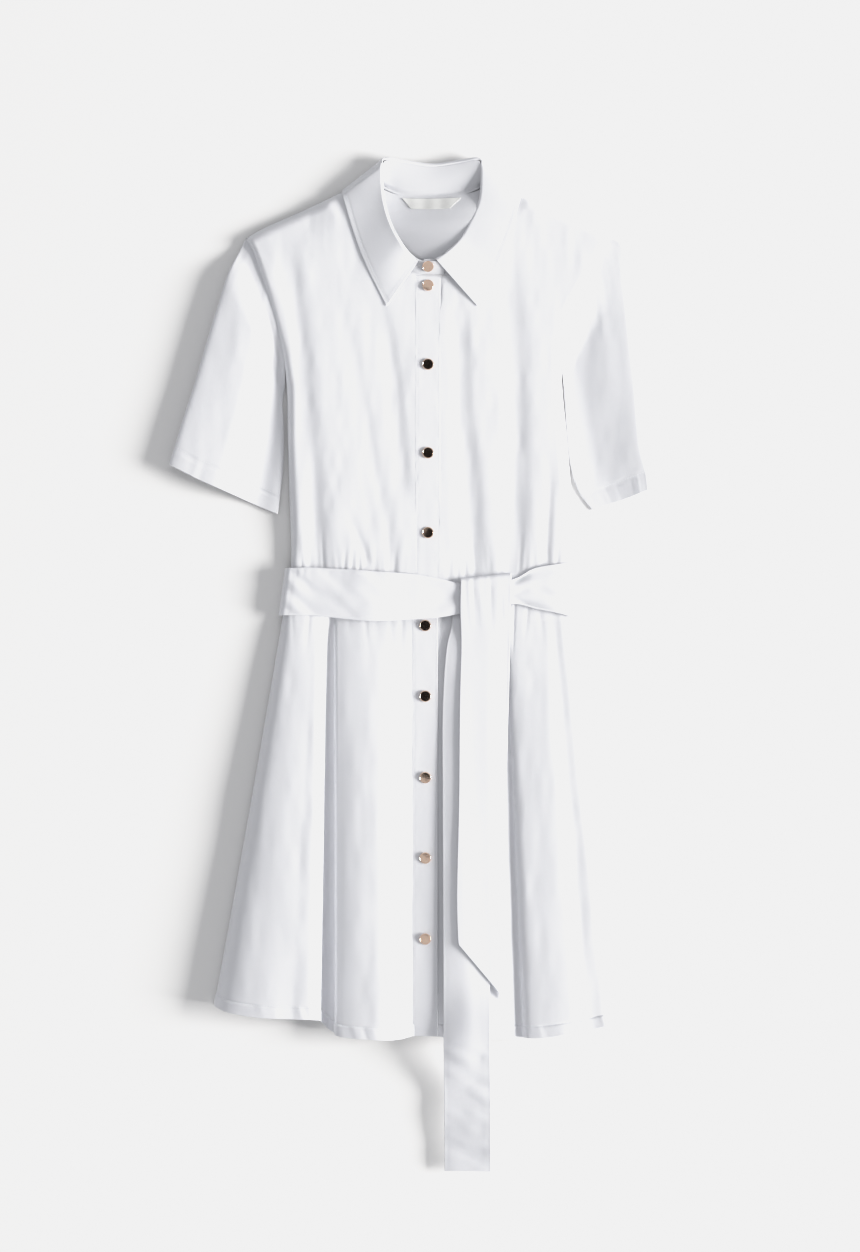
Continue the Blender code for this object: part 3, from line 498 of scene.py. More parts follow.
def gathers(x, y, seed, count, xFrom, xTo):
    # small uneven pleats that run up from the belt's edge
    beltEdge = 24
    rng = np.random.default_rng(seed)
    total = np.zeros(np.broadcast(x, y).shape)
    for k in range(count):
        foot = xFrom + (xTo - xFrom) * (k + 0.5 + rng.uniform(-0.35, 0.35)) / count
        lean, length = rng.uniform(-0.12, 0.12), rng.uniform(22, 62)
        width, depth = rng.uniform(1.6, 3.4), rng.uniform(0.5, 1.3)
        centre = foot + lean * (y - beltEdge)
        total -= depth * bell(x - centre, width) * ramp(y, beltEdge + length, beltEdge)
    return total


def frontHeight(x, y, edge, shoulder, underarmY):
    fromSide = np.abs(np.interp(y, edge[:, 1], edge[:, 0]) - x)
    fromTop = np.interp(x, shoulder[:, 0], shoulder[:, 1]) - y
    full = mix(bodice["waistRise"], bodice["rise"], ramp(y, 26, 86))
    if edge is leftEdge:
        full = full - bodice["tipFall"] * ramp(fromTop, 62, 0) * ramp(x, -94, -124)
    sideReach = bodice["sideRound"] - bodice["tipRound"] * ramp(y, 285, 330)
    height = mix(armHeight(y, underarmY), full, roundRise(fromSide, sideReach))
    topReach = mix(bodice["shoulderRound"], bodice["shoulderCrisp"], ramp(np.abs(x), 88, 104))
    height = mix(cadCloth + gap + backHeight(x, y), height, roundRise(fromTop, topReach))
    inside = ramp(fromSide, 0, 12) * ramp(fromTop, 0, 18)
    deep = mix(bodice["foldHigh"], bodice["foldLow"], ramp(y, 230, 80))
    clear = ramp(np.abs(x), 12.5, 32.5)  # the placket lies flat between the folds
    small = gathers(x, y, 5, 17, -140, -16) + gathers(x, y, 8, 15, 18, 148)
    height = height + inside * clear * (foldHeight(x, y) * deep + small * bodice["gathers"])
    height = height + inside * bodice["unevenness"] * rumple(x, y, (17, 52), (7, 21), 0.5, 3)
    dip = bodice["seamDip"] if edge is leftEdge else bodice["rightDip"] * ramp(y, 250, 280)
    return height - dip * bell(fromSide, 1.8) * ramp(y, 100, 160)


def bodiceHeight(x, y):
    # inner height of the bodice front
    x, y = np.broadcast_arrays(np.asarray(x, float), np.asarray(y, float))
    left = frontHeight(x, y, leftEdge, leftShoulder, bodice["underarmLeftY"])
    right = frontHeight(x, y, rightEdge, rightShoulder, bodice["underarmRightY"])
    return np.where(x < neckX, left, right)


def bodiceFronts():
    up = np.linspace(0, 1, bodice["rows"] + 1)
    lift = cadCloth - bodice["wall"]
    frontEdge = [(-9, 0), (-9, 150), (-9, 300)]  # both fronts end under the placket
    tucked = [*frontEdge, (-9.3, 322.5), (-13.5, 328.2), *necklineLeft]
    plan = patch([(-waistHalf, 0), (-80, 0), (-9, 0)], shoulderLeft, sideLeft, tucked,
                 stations(*bodice["linesLeft"]), up)
    x, y = plan[..., 0], plan[..., 1]
    height = bodiceHeight(x, y) + lift - bodice["tuckLeft"] * ramp(x, -11.9, -10.3) * ramp(y, 330, 324)
    leftOuter = clothShell("bodice_front_left", "front_bodice_left", np.dstack([plan, height]),
                           bodice["wall"], cotton)
    under = [*frontEdge, (-8.6, 319), (-2, 326.5), (20, 330.6), (37, 335.6), *necklineRight]
    plan = patch([(150, 0), (80, 0), (-9, 0)], shoulderRight, sideRight, under,
                 stations(*bodice["linesRight"]), up)
    x, y = plan[..., 0], plan[..., 1]
    tuck = 12.0 + 2.2 * ramp(y, 290, 305)
    height = bodiceHeight(x, y) + lift - bodice["tuckRight"] * ramp(x, tuck, tuck - 1.6)
    underBand = ramp(y - 0.08 * (x - 20), 327, 330) * ramp(x, 44, 34)
    rightOuter = clothShell("bodice_front_right", "front_bodice_right",
                            np.dstack([plan, height - bodice["tuckBand"] * underBand]),
                            bodice["wall"], cotton, -1)
    sewLater("shoulder_stitching", *(edgeLine(outer, "top", bodice["seamAllowance"])
                                     for outer in (leftOuter, rightOuter)))


bodiceFronts()
print("bodice fronts laid")

# Flared skirt: one row for each line that runs from the waist to the hem, as x and z at the waist,
# then x, z and y at the hem. Left front from its side over the first ridge, the valley and the second
# ridge to the placket; right front from the placket over a ridge, a valley and the third ridge.
skirtLeft = [
    (-waistHalf, 3.3, -219.5, 1.7, -421), (-144, 6.5, -217.5, 10, -423), (-139.5, 10, -208, 19.5, -427),
    (-129, 11.2, -180, 25.2, -432), (-117, 10.8, -142, 27, -434), (-110.5, 9.6, -117, 26, -435),
    (-107, 7.4, -112, 15.5, -436.5), (-105, 6.4, -109, 7.5, -440), (-101, 4.6, -103, 3, -446),
    (-97, 5.2, -95.8, 6, -450), (-95, 6.3, -94, 17.5, -451.5), (-90, 7.2, -88.5, 20.3, -453),
    (-74, 8.4, -66, 24.3, -455), (-52, 8.5, -46, 25.5, -456), (-32, 8.5, -30, 20, -455.5),
    (-15.9, 8.5, -15.9, 15.8, -452.5)]
skirtRight = [
    (-12, 6.8, -12, 13.8, -451.5), (11, 6.8, 12, 16.2, -453), (22, 7.4, 24, 18.2, -454),
    (42, 8.4, 52, 22, -455), (61, 8.4, 76, 19, -455), (70, 7.9, 88, 13.5, -454.5),
    (76, 7.4, 93, 11, -454), (80, 7.4, 97, 11.5, -454), (82.5, 7.9, 99.5, 15.5, -454),
    (88, 8.2, 104, 18.5, -454.5), (103, 8.4, 119, 21, -454), (119, 8.5, 147, 23, -449.5),
    (128, 8, 166, 20.5, -446), (137, 8.2, 184, 21, -441.5), (143.5, 7, 198, 14, -437),
    (149, 5, 205, 7, -434.5), (150, 3.3, 206.5, 1.7, -433)]

skirt = {"wall": 0.7, "perSpan": 11, "hemBand": 12.0, "hemGroove": 0.45, "hemPucker": 0.55, "hemWall": 0.5,
         "unevenness": 0.4, "bow": -4.0, "flatTo": 0.062, "flare": 0.58, "gathers": 0.5, "hemY": 452.5,
         "tuck": [(0.9, 0, 0), (2.0, 0, -1.2), (5.0, 0, -1.7)]}
# rows close together at the belt and at the hem band
skirtRows = stations((0, 0.12, 20), (0.12, 0.95, 96), (0.95, 1.0, 34))


def skirtSection(table, share):
    # section of a skirt front at a share of the way from the waist to the hem
    xWaist, zWaist, xHem, zHem, yHem = np.array(table, float).T
    x = mix(xWaist, xHem, share) * (1 + skirt["bow"] * share * (1 - share) / 200)
    lift = max(0.0, (share - skirt["flatTo"]) / (1 - skirt["flatTo"])) ** skirt["flare"]
    points = np.column_stack([x, yHem * share, mix(zWaist, zHem, lift)])
    side = 0 if abs(x[0]) > abs(x[-1]) else -1
    points[side, 2] = cadCloth + gap + backHeight(*points[side, :2])
    return points


def skirtGrid(table, seed):
    grid = np.array([spline(skirtSection(table, share), skirt["perSpan"]) for share in skirtRows])
    grid = grid.transpose(1, 0, 2)
    x, y = grid[..., 0], grid[..., 1]
    fromHem, hemBand = toEnd(grid), skirt["hemBand"]
    ends = ramp(fromSides(grid), 0, 10)
    soft = skirt["unevenness"] * rumple(x, y, (21, 75), (8, 26), 0.45, seed) * ramp(y, 0, -60)
    pucker = skirt["hemPucker"] * softNoise(x + 0.35 * fromHem, 0 * y, 5.0, 1.0, seed + 2)
    groove = skirt["hemGroove"] * bell(fromHem - hemBand, 1.0)
    relief = ends * (soft + pucker * ramp(fromHem, hemBand + 3, hemBand - 2) - groove)
    relief += skirt["gathers"] * gathers(x, 4 - y, seed, 14, x.min(), x.max())
    grid[..., 2] += relief + cadCloth - skirt["wall"]
    wall = skirt["wall"] + skirt["hemWall"] * ramp(fromHem, hemBand, hemBand - 2)
    return grid, wall


def skirtFronts():
    grid, wall = skirtGrid(skirtLeft, 21)
    grid = np.concatenate([grid, grid[-1:] + np.array(skirt["tuck"])[:, None]])  # under the placket
    wall = np.concatenate([wall, *[wall[-1:]] * len(skirt["tuck"])])
    leftOuter = clothShell("skirt_front_left", "front_skirt_left", grid, wall, cotton, -1)
    rightOuter = clothShell("skirt_front_right", "front_skirt_right", *skirtGrid(skirtRight, 27), cotton, -1)
    sewLater("hem_stitching", edgeLine(leftOuter[:-4], "top", skirt["hemBand"]),
             edgeLine(rightOuter, "top", skirt["hemBand"]))


skirtFronts()
print("skirt fronts laid")

placket = {"wall": 0.9, "width": 25.7, "halfWidth": 12.3, "lines": 30, "topY": 327.8, "lift": 0.05,
           "stitchIn": 1.7, "groove": 0.1, "pucker": 0.12, "unevenness": 0.12, "dimple": 0.3,
           "dimpleWide": 7.5, "climb": 0.085, "seamX": -12.4, "buttonIn": 13.2}
buttonsBodiceY = [318.0, 237.0, 146.0, 64.0]
buttonsSkirtY = [-31.4, -104.0, -187.5, -270.0, -353.0]
bodiceButtonX, skirtButtonX = 0.0, -2.8


def placketRelief(x, y, centreX, fromEdge, buttonYs, seed):
    # quilting of a stitched band: grooves along its stitching, puckers and a dimple at each button
    relief = -placket["groove"] * bell(fromEdge - placket["stitchIn"], 0.8)
    relief = relief + placket["pucker"] * softNoise(x * 0.2, y, 1.0, 6.5, seed) * bell(fromEdge - 1.5, 3.0)
    relief = relief + placket["unevenness"] * softNoise(x, y, 9, 24, seed + 1)
    for buttonY in buttonYs:
        relief = relief - placket["dimple"] * bell(np.hypot(x - centreX, y - buttonY), placket["dimpleWide"])
    return relief


def plackets():
    lift = cadCloth - placket["wall"] + placket["lift"]
    across = np.linspace(-placket["halfWidth"], placket["halfWidth"], placket["lines"])
    x, y = np.meshgrid(across, np.linspace(-2, placket["topY"], 190), indexing="ij")
    fromEdge = placket["halfWidth"] - np.abs(x)
    height = bodiceHeight(np.full_like(x, placket["seamX"]), y) + lift
    height = height + placketRelief(x, y, bodiceButtonX, fromEdge, buttonsBodiceY, 31)
    height = height - 0.4 * smooth(y - placket["topY"] + 1.2)  # it dips under the neck band
    outers = [clothShell("bodice_placket", "placket_bodice", np.dstack([x, y, height]), placket["wall"],
                         cotton)]
    lines = []
    for share in skirtRows:
        seamX, seamY, seamZ = skirtSection(skirtLeft, share)[-1]
        lines.append([(seamX - 0.1 + step, seamY, seamZ + placket["climb"] * share * step)
                      for step in np.linspace(0, placket["width"], placket["lines"])])
    grid = np.array(lines).transpose(1, 0, 2)
    grid[..., 2] += lift + placketRelief(grid[..., 0], grid[..., 1], skirtButtonX, fromSides(grid),
                                         buttonsSkirtY, 35)
    outers.append(clothShell("skirt_placket", "placket_skirt", grid, placket["wall"], cotton, -1))
    sewLater("placket_stitching", *(edgeLine(outer, side, placket["stitchIn"])
                                    for outer in outers for side in ("first", "last")))


plackets()
print("plackets laid")

back = {"wall": 0.9, "lines": 96, "rows": 120, "lift": 0.2, "unevenness": 0.18, "hemGroove": 0.15,
        "seamIn": 0.2, "bowlRise": 12.0,
        "hem": [(-219.3, -421), (-120, -427), (0, -428), (120, -427), (206.3, -430)]}
# half width of the neck opening at heights from its front to its back
openingY = (328, 336, 343, 351.5, 365.5, 383.5, 404.5, 424)
openingHalf = (-9, 0, 14, 24, 34, 43, 49, 51)


def neckBowl(x, y):
    # inside the neck the back rises towards the front and the right side of the collar
    climb = ramp(0.8 * (x + 45) + 0.6 * (425 - y), 12, 107)
    opening = 1 - ramp(np.abs(x - neckX) - np.interp(y, openingY, openingHalf), 1, 9)
    return back["bowlRise"] * climb * opening * (1 - ramp(y, 396, 426))


def backRelief(x, y, seed):
    soft = rumple(x, y, (30, 60), (11, 28), 0.5, seed)
    return back["lift"] + back["unevenness"] * (soft + 1.2) * 0.5 + neckBowl(x, y)


def backPanels():
    across, up = np.linspace(0, 1, back["lines"] + 1), np.linspace(0, 1, back["rows"] + 1)
    left = [(x + back["seamIn"], y) for x, y in sideLeft]
    right = [(x - back["seamIn"], y) for x, y in sideRight]
    top = [*shoulderLeft[:-1], *backNeck, *shoulderRight[::-1][1:]]
    plan = patch([left[0], (0, 0), right[0]], top, left, right, across, up)
    x, y = plan[..., 0], plan[..., 1]
    # the back wears the darker copy of the poplin, painted shade inside the neck
    clothShell("bodice_back", "back_bodice", np.dstack([plan, backHeight(x, y) + backRelief(x, y, 41)]),
               back["wall"], cottonPaintedShade)
    left, right = ([skirtSection(table, share)[side][:2] for share in np.linspace(0, 1, 7)]
                   for table, side in ((skirtLeft, 0), (skirtRight, -1)))
    plan = patch([left[0], (0, 0), right[0]], back["hem"], left, right, across, skirtRows)
    x, y = plan[..., 0], plan[..., 1]
    height = backHeight(x, y) + backRelief(x, y, 45)
    height = height - back["hemGroove"] * bell(toEnd(plan) - skirt["hemBand"], 1.0)
    outer = clothShell("skirt_back", "back_skirt", np.dstack([plan, height]), back["wall"], cotton, -1)
    sewLater("hem_stitching", edgeLine(outer, "top", skirt["hemBand"]))


backPanels()
print("back laid")

# Sleeves: outer edge and inner edge from the armhole down, and the hem outer to inner.
# crest is where the top of the flattened tube lies across it, from the outer edge, and foot where
# its slope ends; sharp and soft round the outer and the inner edge; step sets it off the side seam.
sleeveLeft = {
    "outer": [(-187.4, 367.6), (-193.4, 355), (-205, 332), (-215.5, 300), (-227.5, 261), (-240, 218),
              (-253.5, 176), (-266, 134)],
    "inner": [(-147.0, 215), (-149.6, 201), (-148.8, 180), (-148.4, 155), (-149.4, 128), (-152.2, 104),
              (-154.5, 83.5)],
    "hem": [(-266, 134), (-250, 126), (-235, 118.5), (-204, 105), (-173, 91), (-154.5, 83.5)],
    "crest": 0.4, "low": 0.76, "foot": 0.83, "sharp": 0.14, "soft": 0.2, "rise": 16.0, "dip": 1.0,
    "lap": 2.0, "edge": 3.2, "seed": 51, "step": 0.5, "underarmY": bodice["underarmLeftY"]}
sleeveRight = {
    "outer": [(186.3, 367.8), (198, 362.5), (203, 340), (207, 304), (211, 263), (215.5, 221.5),
              (218.5, 180), (221.5, 150), (226.5, 129), (228.5, 109)],
    "inner": [(139.8, 213), (141.0, 199), (142.6, 170), (147, 132), (154, 109), (161.5, 97), (169, 87.5)],
    "hem": [(228.5, 109), (218.5, 105), (198, 97), (177, 90.5), (169, 87.5)],
    "crest": 0.05, "low": 0.80, "foot": 0.86, "sharp": 0.15, "soft": 0.1, "rise": 11.0, "dip": 0.0,
    "lap": 0.0, "edge": 1.3, "seed": 57, "step": -0.3, "underarmY": bodice["underarmRightY"]}
sleeveLook = {"wall": 0.8, "width": 115.0, "length": 285.0, "innerLength": 0.55, "rings": 150, "down": 84,
              "rim": 0.3, "atSeam": 0.45, "ridge": 0.8, "trough": 0.7, "hemBand": 19.0, "hemGroove": 0.5,
              "hemPucker": 0.5, "capPleat": 0.6, "unevenness": 0.25}


def sleeveTop(across, share, y, cut):
    # outer height of the front layer, from the armhole (share 0) to the hem (1)
    atSeam = armHeight(y, cut["underarmY"]) + cadCloth - sleeveLook["atSeam"]
    fall = np.clip((across - cut["crest"]) / (cut["foot"] - cut["crest"]), 0, 1)
    fall = np.sin(fall * math.pi / 2) if cut is sleeveRight else smooth(fall)
    full = cut["rise"] * (1 - cut["low"] * fall) + cut["lap"] * ramp(across, 0.83, 0.98)
    ridge = bell(across - 0.3, 0.12) * np.sin(math.pi * np.minimum(1.0, share * 1.4)) ** 2
    trough = bell(across - 0.62, 0.13) * np.sin(math.pi * share) ** 0.8
    full = full + sleeveLook["ridge"] * ridge - sleeveLook["trough"] * trough
    hollow = cut["dip"] * bell(share - 0.075, 0.032) * ramp(atSeam, 4, 7)
    return mix(atSeam, full, ramp(share, 0, 0.22)) - hollow


def sleeveSurface(cut, armhole, inset):
    look = sleeveLook
    rings, hemBand, edge, seed = look["rings"], look["hemBand"], cut["edge"], cut["seed"]
    down = np.sort(np.append(np.linspace(0, 1, look["down"] + 1), (0.002, 0.998)))
    angles = np.linspace(0, math.tau, rings, endpoint=False)
    across = (1 - np.cos(angles)) / 2
    inward = 0.5 + (across - 0.5) * (1 - 2 * inset / look["width"])
    order = np.argsort(inward, kind="stable")
    plan = np.zeros((rings, len(down), 2))
    plan[order] = patch(armhole, cut["hem"], cut["outer"], cut["inner"], inward[order], down)
    rise = np.sin(angles)[:, None]
    depth = np.minimum(1.0, 2.6 * np.abs(rise))
    share, across = down[None, :], across[:, None]
    x, y = plan[..., 0], plan[..., 1]
    fromHem = (1 - share) * look["length"] * mix(1, look["innerLength"], across)
    soft = rumple(x, y, (20, 60), (8, 22), 0.5, seed)
    pucker = softNoise(across * look["width"], 0 * y, 6.0, 1.0, seed + 2)
    pucker = pucker * mix(0.35, 1, ramp(across, 0.4, 0.1))
    pleats = softNoise(across * 100, 0 * y, 5.0, 1.0, seed + 3) * ramp(share, 0.34, 0)
    top = sleeveTop(across, share, y, cut)
    top = top + (look["unevenness"] * soft * ramp(share, 0, 0.2)
                 + look["hemPucker"] * pucker * ramp(fromHem, hemBand + 4, hemBand - 2)
                 - look["hemGroove"] * bell(fromHem - hemBand, 1.3)
                 + look["capPleat"] * pleats * ramp(share, 0, 0.03))
    over = mix(edge, top, np.maximum(rise, 0) ** (cut["sharp"] + cut["soft"] * across)) - inset * depth
    under = edge * (1 - depth) + inset * depth + 0.15
    return np.dstack([plan, np.where(rise >= 0, over, under)])


def tubeShell(name, node, outer, inner, finish, flip):
    # closed sleeve between an outer and an inner surface whose points [i][j] go round with i
    rings, rows = outer.shape[:2]
    count = rings * rows
    rims = [(outer[:, end] + inner[:, end]) / 2 - unit(outer[:, near] - outer[:, end]) * sleeveLook["rim"]
            for end, near in ((0, 1), (-1, -2))]
    rimIds = 2 * count + np.arange(2 * rings).reshape(2, rings).T
    ids = [np.hstack([rimIds[:, :1], side + np.arange(count).reshape(rings, rows), rimIds[:, 1:]])
           for side in (0, count)]
    ids = [np.vstack([side, side[:1]]) for side in ids]
    wrapped = np.concatenate([outer, outer[:1]])
    uv = np.pad(np.dstack([runs(wrapped, 0), runs(wrapped, 1)]), ((0, 0), (1, 1), (0, 0)), mode="edge")
    points = [outer.reshape(-1, 3), inner.reshape(-1, 3), *rims]
    closedPiece(name, node, points, *ids, uv, finish, flip)


def sleeves():
    for side, cut, sideSeam in (("left", sleeveLeft, sideLeft), ("right", sleeveRight, sideRight)):
        seam = [(x + cut["step"], y) for x, y in sideSeam if y > 205][::-1]
        armhole = [cut["outer"][0], *seam[1:-1], cut["inner"][0]]
        outer, inner = (sleeveSurface(cut, armhole, inset) for inset in (0.0, sleeveLook["wall"]))
        tubeShell(f"sleeve_{side}_cloth", f"sleeve_{side}", outer, inner, cotton, side == "left")
        hemLine = edgeLine(outer, "top", sleeveLook["hemBand"])
        sewLater("sleeve_stitching", np.vstack([hemLine, hemLine[:1]]))


sleeves()
print("sleeves laid")

# Neck band, half of it from the front centre by the side and shoulder to the back centre: x, y and z
# of its seam, then of its top edge, x being measured from the neck's centre.
stand = [
    (0, 328.5, 12.6, 0, 342.5, 30.5), (20, 330.5, 12.8, 13, 344, 30.5), (34, 339.3, 13, 24, 352, 30.5),
    (46.3, 352.5, 12.6, 34, 366, 30), (55.4, 372.5, 11.4, 43, 384, 28.5),
    (60, 395, 9.4, 48.5, 405, 23.5), (60.8, 413, 7.4, 50.5, 424, 17), (56, 424, 6.6, 50, 444, 13.6),
    (45, 418.6, 4.4, 44, 446.5, 11.6), (28, 412.6, 3.9, 28, 443.5, 9.6), (0, 410.4, 3.8, 0, 440, 8)]

# Collar, the same half: x, y and z of its roll, x and y of its outer edge, how far the edge stands
# off what it lies on, and how far it has turned under the back.
collar = [
    (14, 343, 31.2, 46.5, 297, 0.1, 0), (24, 351.5, 31.2, 55, 314, 0.1, 0),
    (34, 365.5, 30.7, 64, 332, 0.1, 0), (43, 383.5, 29.2, 73.5, 354, 0.5, 0),
    (48.8, 404.5, 24.2, 82.5, 380, 0.5, 0), (50.8, 424, 17.8, 89, 402, 0.5, 0),
    (51, 440, 14, 91.6, 411, 0.5, 0), (51.5, 447, 13, 92.4, 416, 0, 0.5),
    (49.5, 448, 11.8, 90, 411, 0, 0.9), (44, 447.8, 11.2, 78, 402, 0, 1), (28, 444.8, 9, 44, 394, 0, 1),
    (0, 441.4, 7.6, 0, 391.5, 0, 1)]

# The right half laps over: its roll runs nearer to the front centre.
rightFront = [(39.5, 383.0), (28.0, 364.0), (16.0, 352.8), (3.6, 345.2)]

collarLook = {"wall": 0.75, "standWall": 0.6, "standBulge": 1.2, "standLean": 0.5, "lap": 2.2,
              "lapShare": 0.24, "underZ": 1.25, "perSpan": 8, "stitchIn": 3.8, "groove": 0.25,
              "flatFrom": 12.0, "keepLeft": 0.58, "keepFront": 0.3, "keepRight": 0.14, "edgeLift": 0.1,
              "roll": 1.6, "turnDown": 1.7, "crown": 0.5, "tuckRoll": 0.55, "tuckStand": 0.45,
              "firstButton": 0.64}


def rollHeight(x, z):
    # a worn collar lies flatter than its stand is high, most on the right
    front, low = collarLook["keepFront"], collarLook["flatFrom"]
    keep = mix(front, collarLook["keepLeft"], ramp(x, -14, -34))
    keep = keep + (collarLook["keepRight"] - front) * ramp(x, 14, 34)
    return np.where(z > low, low + (z - low) * keep, z)


def bothHalves(table):
    # rows from the left front round the back to the right front
    half = np.array(table, float)
    left = half.copy()
    left[:, [0, 3]] *= -1
    return np.vstack([left, half[-2::-1]])


def collarStand():
    rows = bothHalves(stand)
    rows[:, 5] = rollHeight(rows[:, 3], rows[:, 5])
    overEnd = rows[0] + [12.5, 0, 0, 12.5, 0, 0]
    tucked = rows[-1] + [9.0, 1.9, -1.4, 7.0, 1.9, -1.4]
    underEnd = rows[-1] + [-10.0, 2.1, -1.6, -8.0, 2.1, -1.6]
    curve = spline(np.vstack([overEnd, rows[:-1], tucked, underEnd]), 7)
    seam, roll, lapShare = curve[:, :3], curve[:, 3:], collarLook["lapShare"]
    grid = []
    for share in np.linspace(-lapShare, 1, 30):
        points = mix(seam, roll, max(0.0, share))
        points += unit(seam - roll) * collarLook["lap"] * max(0.0, -share / lapShare)
        points[:, 0] += neckX
        points[:, 2] += collarLook["standBulge"] * math.sin(math.pi * max(0.0, share))
        points[:, 2] -= collarLook["standLean"] * share
        x, y = points[:, 0], points[:, 1]
        onFront = bodiceHeight(x, y) + cadCloth
        onBack = backHeight(x, y) + backRelief(x, y, 41) + back["wall"]
        lapped = np.where(y < 408, onFront, onBack) + 0.12 - collarLook["standWall"]
        points[:, 2] = mix(points[:, 2], lapped, ramp(share, 0.16, -0.04))
        grid.append(points)
    grid = np.array(grid).transpose(1, 0, 2)
    # the neck band wears the darker copy too, painted shade inside the neck
    clothShell("neck_band", "collar_stand", grid, collarLook["standWall"], cottonPaintedShade)
    return grid[:, -1]


def collarFall(standTop):
    rows = bothHalves(collar)
    rows[-4:, :2] = rightFront
    rows = spline(rows, collarLook["perSpan"])
    roll, edge = rows[:, :3] + [neckX, 0, 0], rows[:, 3:5] + [neckX, 0]
    roll[:, 2] = rollHeight(rows[:, 0], roll[:, 2])
    under, beneathZ = np.clip(rows[:, 6], 0, 1), collarLook["underZ"]
    lifted = 0.15 + rows[:, 5] + collarLook["edgeLift"] * ramp(roll[:, 1], 430, 400)
    onFront = np.maximum(bodiceHeight(edge[:, 0], edge[:, 1]), bodiceHeight(edge[:, 0], edge[:, 1] - 4))
    edge = np.column_stack([edge, mix(onFront + cadCloth + lifted, beneathZ, under)])
    out = (edge - roll) / np.linalg.norm((edge - roll)[:, :2], axis=1, keepdims=True)
    near = standTop[np.argmin(np.linalg.norm(roll[:, None, :2] - standTop[None, :, :2], axis=2), axis=1)]
    tuck = roll * collarLook["tuckRoll"] + near * collarLook["tuckStand"]
    shallow = 1 - 0.75 * ramp(roll[:, 0], 4, 20)  # the right half hardly turns down
    tuck[:, 2] -= 0.5 + collarLook["turnDown"] * ramp(roll[:, 1], 438, 426) * shallow
    grid = [mix(tuck, roll, share) for share in (0.0, 0.35, 0.7)]
    for share in stations((0, 0.2, 14), (0.2, 1, 26)):
        top = mix(roll, edge, share)
        top[:, 2] = mix(roll[:, 2], edge[:, 2], share ** 0.8)
        top[:, 2] += collarLook["crown"] * math.sin(math.pi * share)
        top[:, 2] -= collarLook["roll"] * (1 - ramp(share, 0, 0.05)) ** 2 * shallow
        beneath = mix(roll, edge, max(0.0, share - 0.06))
        beneath[:, 2] = mix(beneathZ, roll[:, 2], 1 - ramp(share, 0, 0.2))
        beneath[:, :2] -= out[:, :2] * 2.5 * math.sin(math.pi * min(1.0, share / 0.2))
        grid.append(mix(top, beneath, under[:, None]))
    grid = np.array(grid).transpose(1, 0, 2)
    stitchIn = collarLook["stitchIn"]
    wall = collarLook["wall"] - collarLook["groove"] * bell(toEnd(grid) - stitchIn, 0.7)
    outer = clothShell("collar", "collar_fall", grid, wall, cotton)
    # the rows stop short of the points and of the roll
    sewLater("collar_stitching", edgeLine(outer, "top", stitchIn)[3:-3],
             *(edgeLine(outer, side, stitchIn)[10:-5] for side in ("first", "last")))


labelLook = {"wall": 0.5, "lift": 1.6, "wave": 0.15, "lines": 50, "rows": 12,
             "top": (-26.5, 60.5, 408.5, 0.8), "low": (-17.5, 40.5, 397.5, 0.6)}  # from x, width, y, sag


def neckLabel():
    grid = []
    for share in np.linspace(0, 1, labelLook["lines"]):
        low, top = (np.array([x + width * share, y - sag * math.sin(math.pi * share)])
                    for x, width, y, sag in (labelLook["low"], labelLook["top"]))
        line = [mix(low, top, step) for step in np.linspace(0, 1, labelLook["rows"])]
        grid.append([(x, y, labelLook["lift"] + float(backHeight(x, y) + neckBowl(x, y))
                      + labelLook["wave"] * math.sin(x * 0.35)) for x, y in line])
    clothShell("neck_label_tape", "neck_label", grid, labelLook["wall"], tape)


collarFall(collarStand())
neckLabel()
print("collar turned")

# Belt round the waist: x and y of the upper and the lower edge of each section, and the inner height.
# From its end under the knot along the front to the left edge, the back, the right edge and the knot.
belt = [
    (70, 6, 69, -14, 12), (50, 8, 49, -17, 12), (30, 12, 33, -19, 13.2), (12, 16, 12, -22.5, 13.4),
    (-12, 20.5, -10, -24.2, 14.4), (-60, 24, -58, -26, 15.6), (-118, 27.5, -121, -20.6, 14),
    (-137, 27.5, -143, -20.6, 13.6), (-143.8, 27.5, -150.2, -20.6, 12), (-146, 27.5, -152.6, -20.6, 7),
    (-145.4, 27.3, -151.8, -20.7, 2), (-142, 27, -148.4, -20.8, 1.32), (-120, 26, -123, -22, 1.32),
    (0, 25, 0, -24, 1.32), (128, 28, 130, -22, 1.32), (151, 32, 151.4, -22, 1.32),
    (154.6, 32.3, 155, -22.2, 2), (155.2, 32.5, 155.8, -22.6, 4), (153, 33, 153.6, -22.6, 7.6),
    (146, 33, 147, -21.5, 11), (130, 31, 132, -18, 13.4), (108, 27, 110, -14, 13.2),
    (92, 18, 92, -9.5, 12.6), (72, 11, 72, -9, 14), (44, 9, 46, -15, 14)]

beltLook = {"wall": 1.1, "perSpan": 14, "lines": 34, "lift": 0.2, "puckers": 0.5, "creases": 0.8,
            "swell": 1.6, "pulls": 1.1, "twist": 0.7, "unevenness": 0.35}


def beltRelief(x, y, share, z):
    # creases of the front run: tiny puckers under the top edge, soft diagonals, pulls to the knot
    puckers = softNoise(x, 0 * y, 3.6, 1.0, 61) * ramp(share, 0.72, 0.92) * ramp(x, -50, -70)
    diagonal = softNoise(x + 1.1 * y, y, 12, 30, 62) * ramp(x, -40, -70)
    pulls = np.sin((share - 0.5) * 14 + x * 0.05) * ramp(x, 84, 98) * ramp(x, 150, 120)
    twist = np.sin(share * 9.0) * bell(x - 22, 14)
    return ramp(z, 8, 10) * (beltLook["puckers"] * puckers + beltLook["creases"] * diagonal
                             + beltLook["swell"] * bell(x + 62, 34) + beltLook["pulls"] * pulls
                             + beltLook["twist"] * twist
                             + beltLook["unevenness"] * softNoise(x, y, 16, 20, 63))


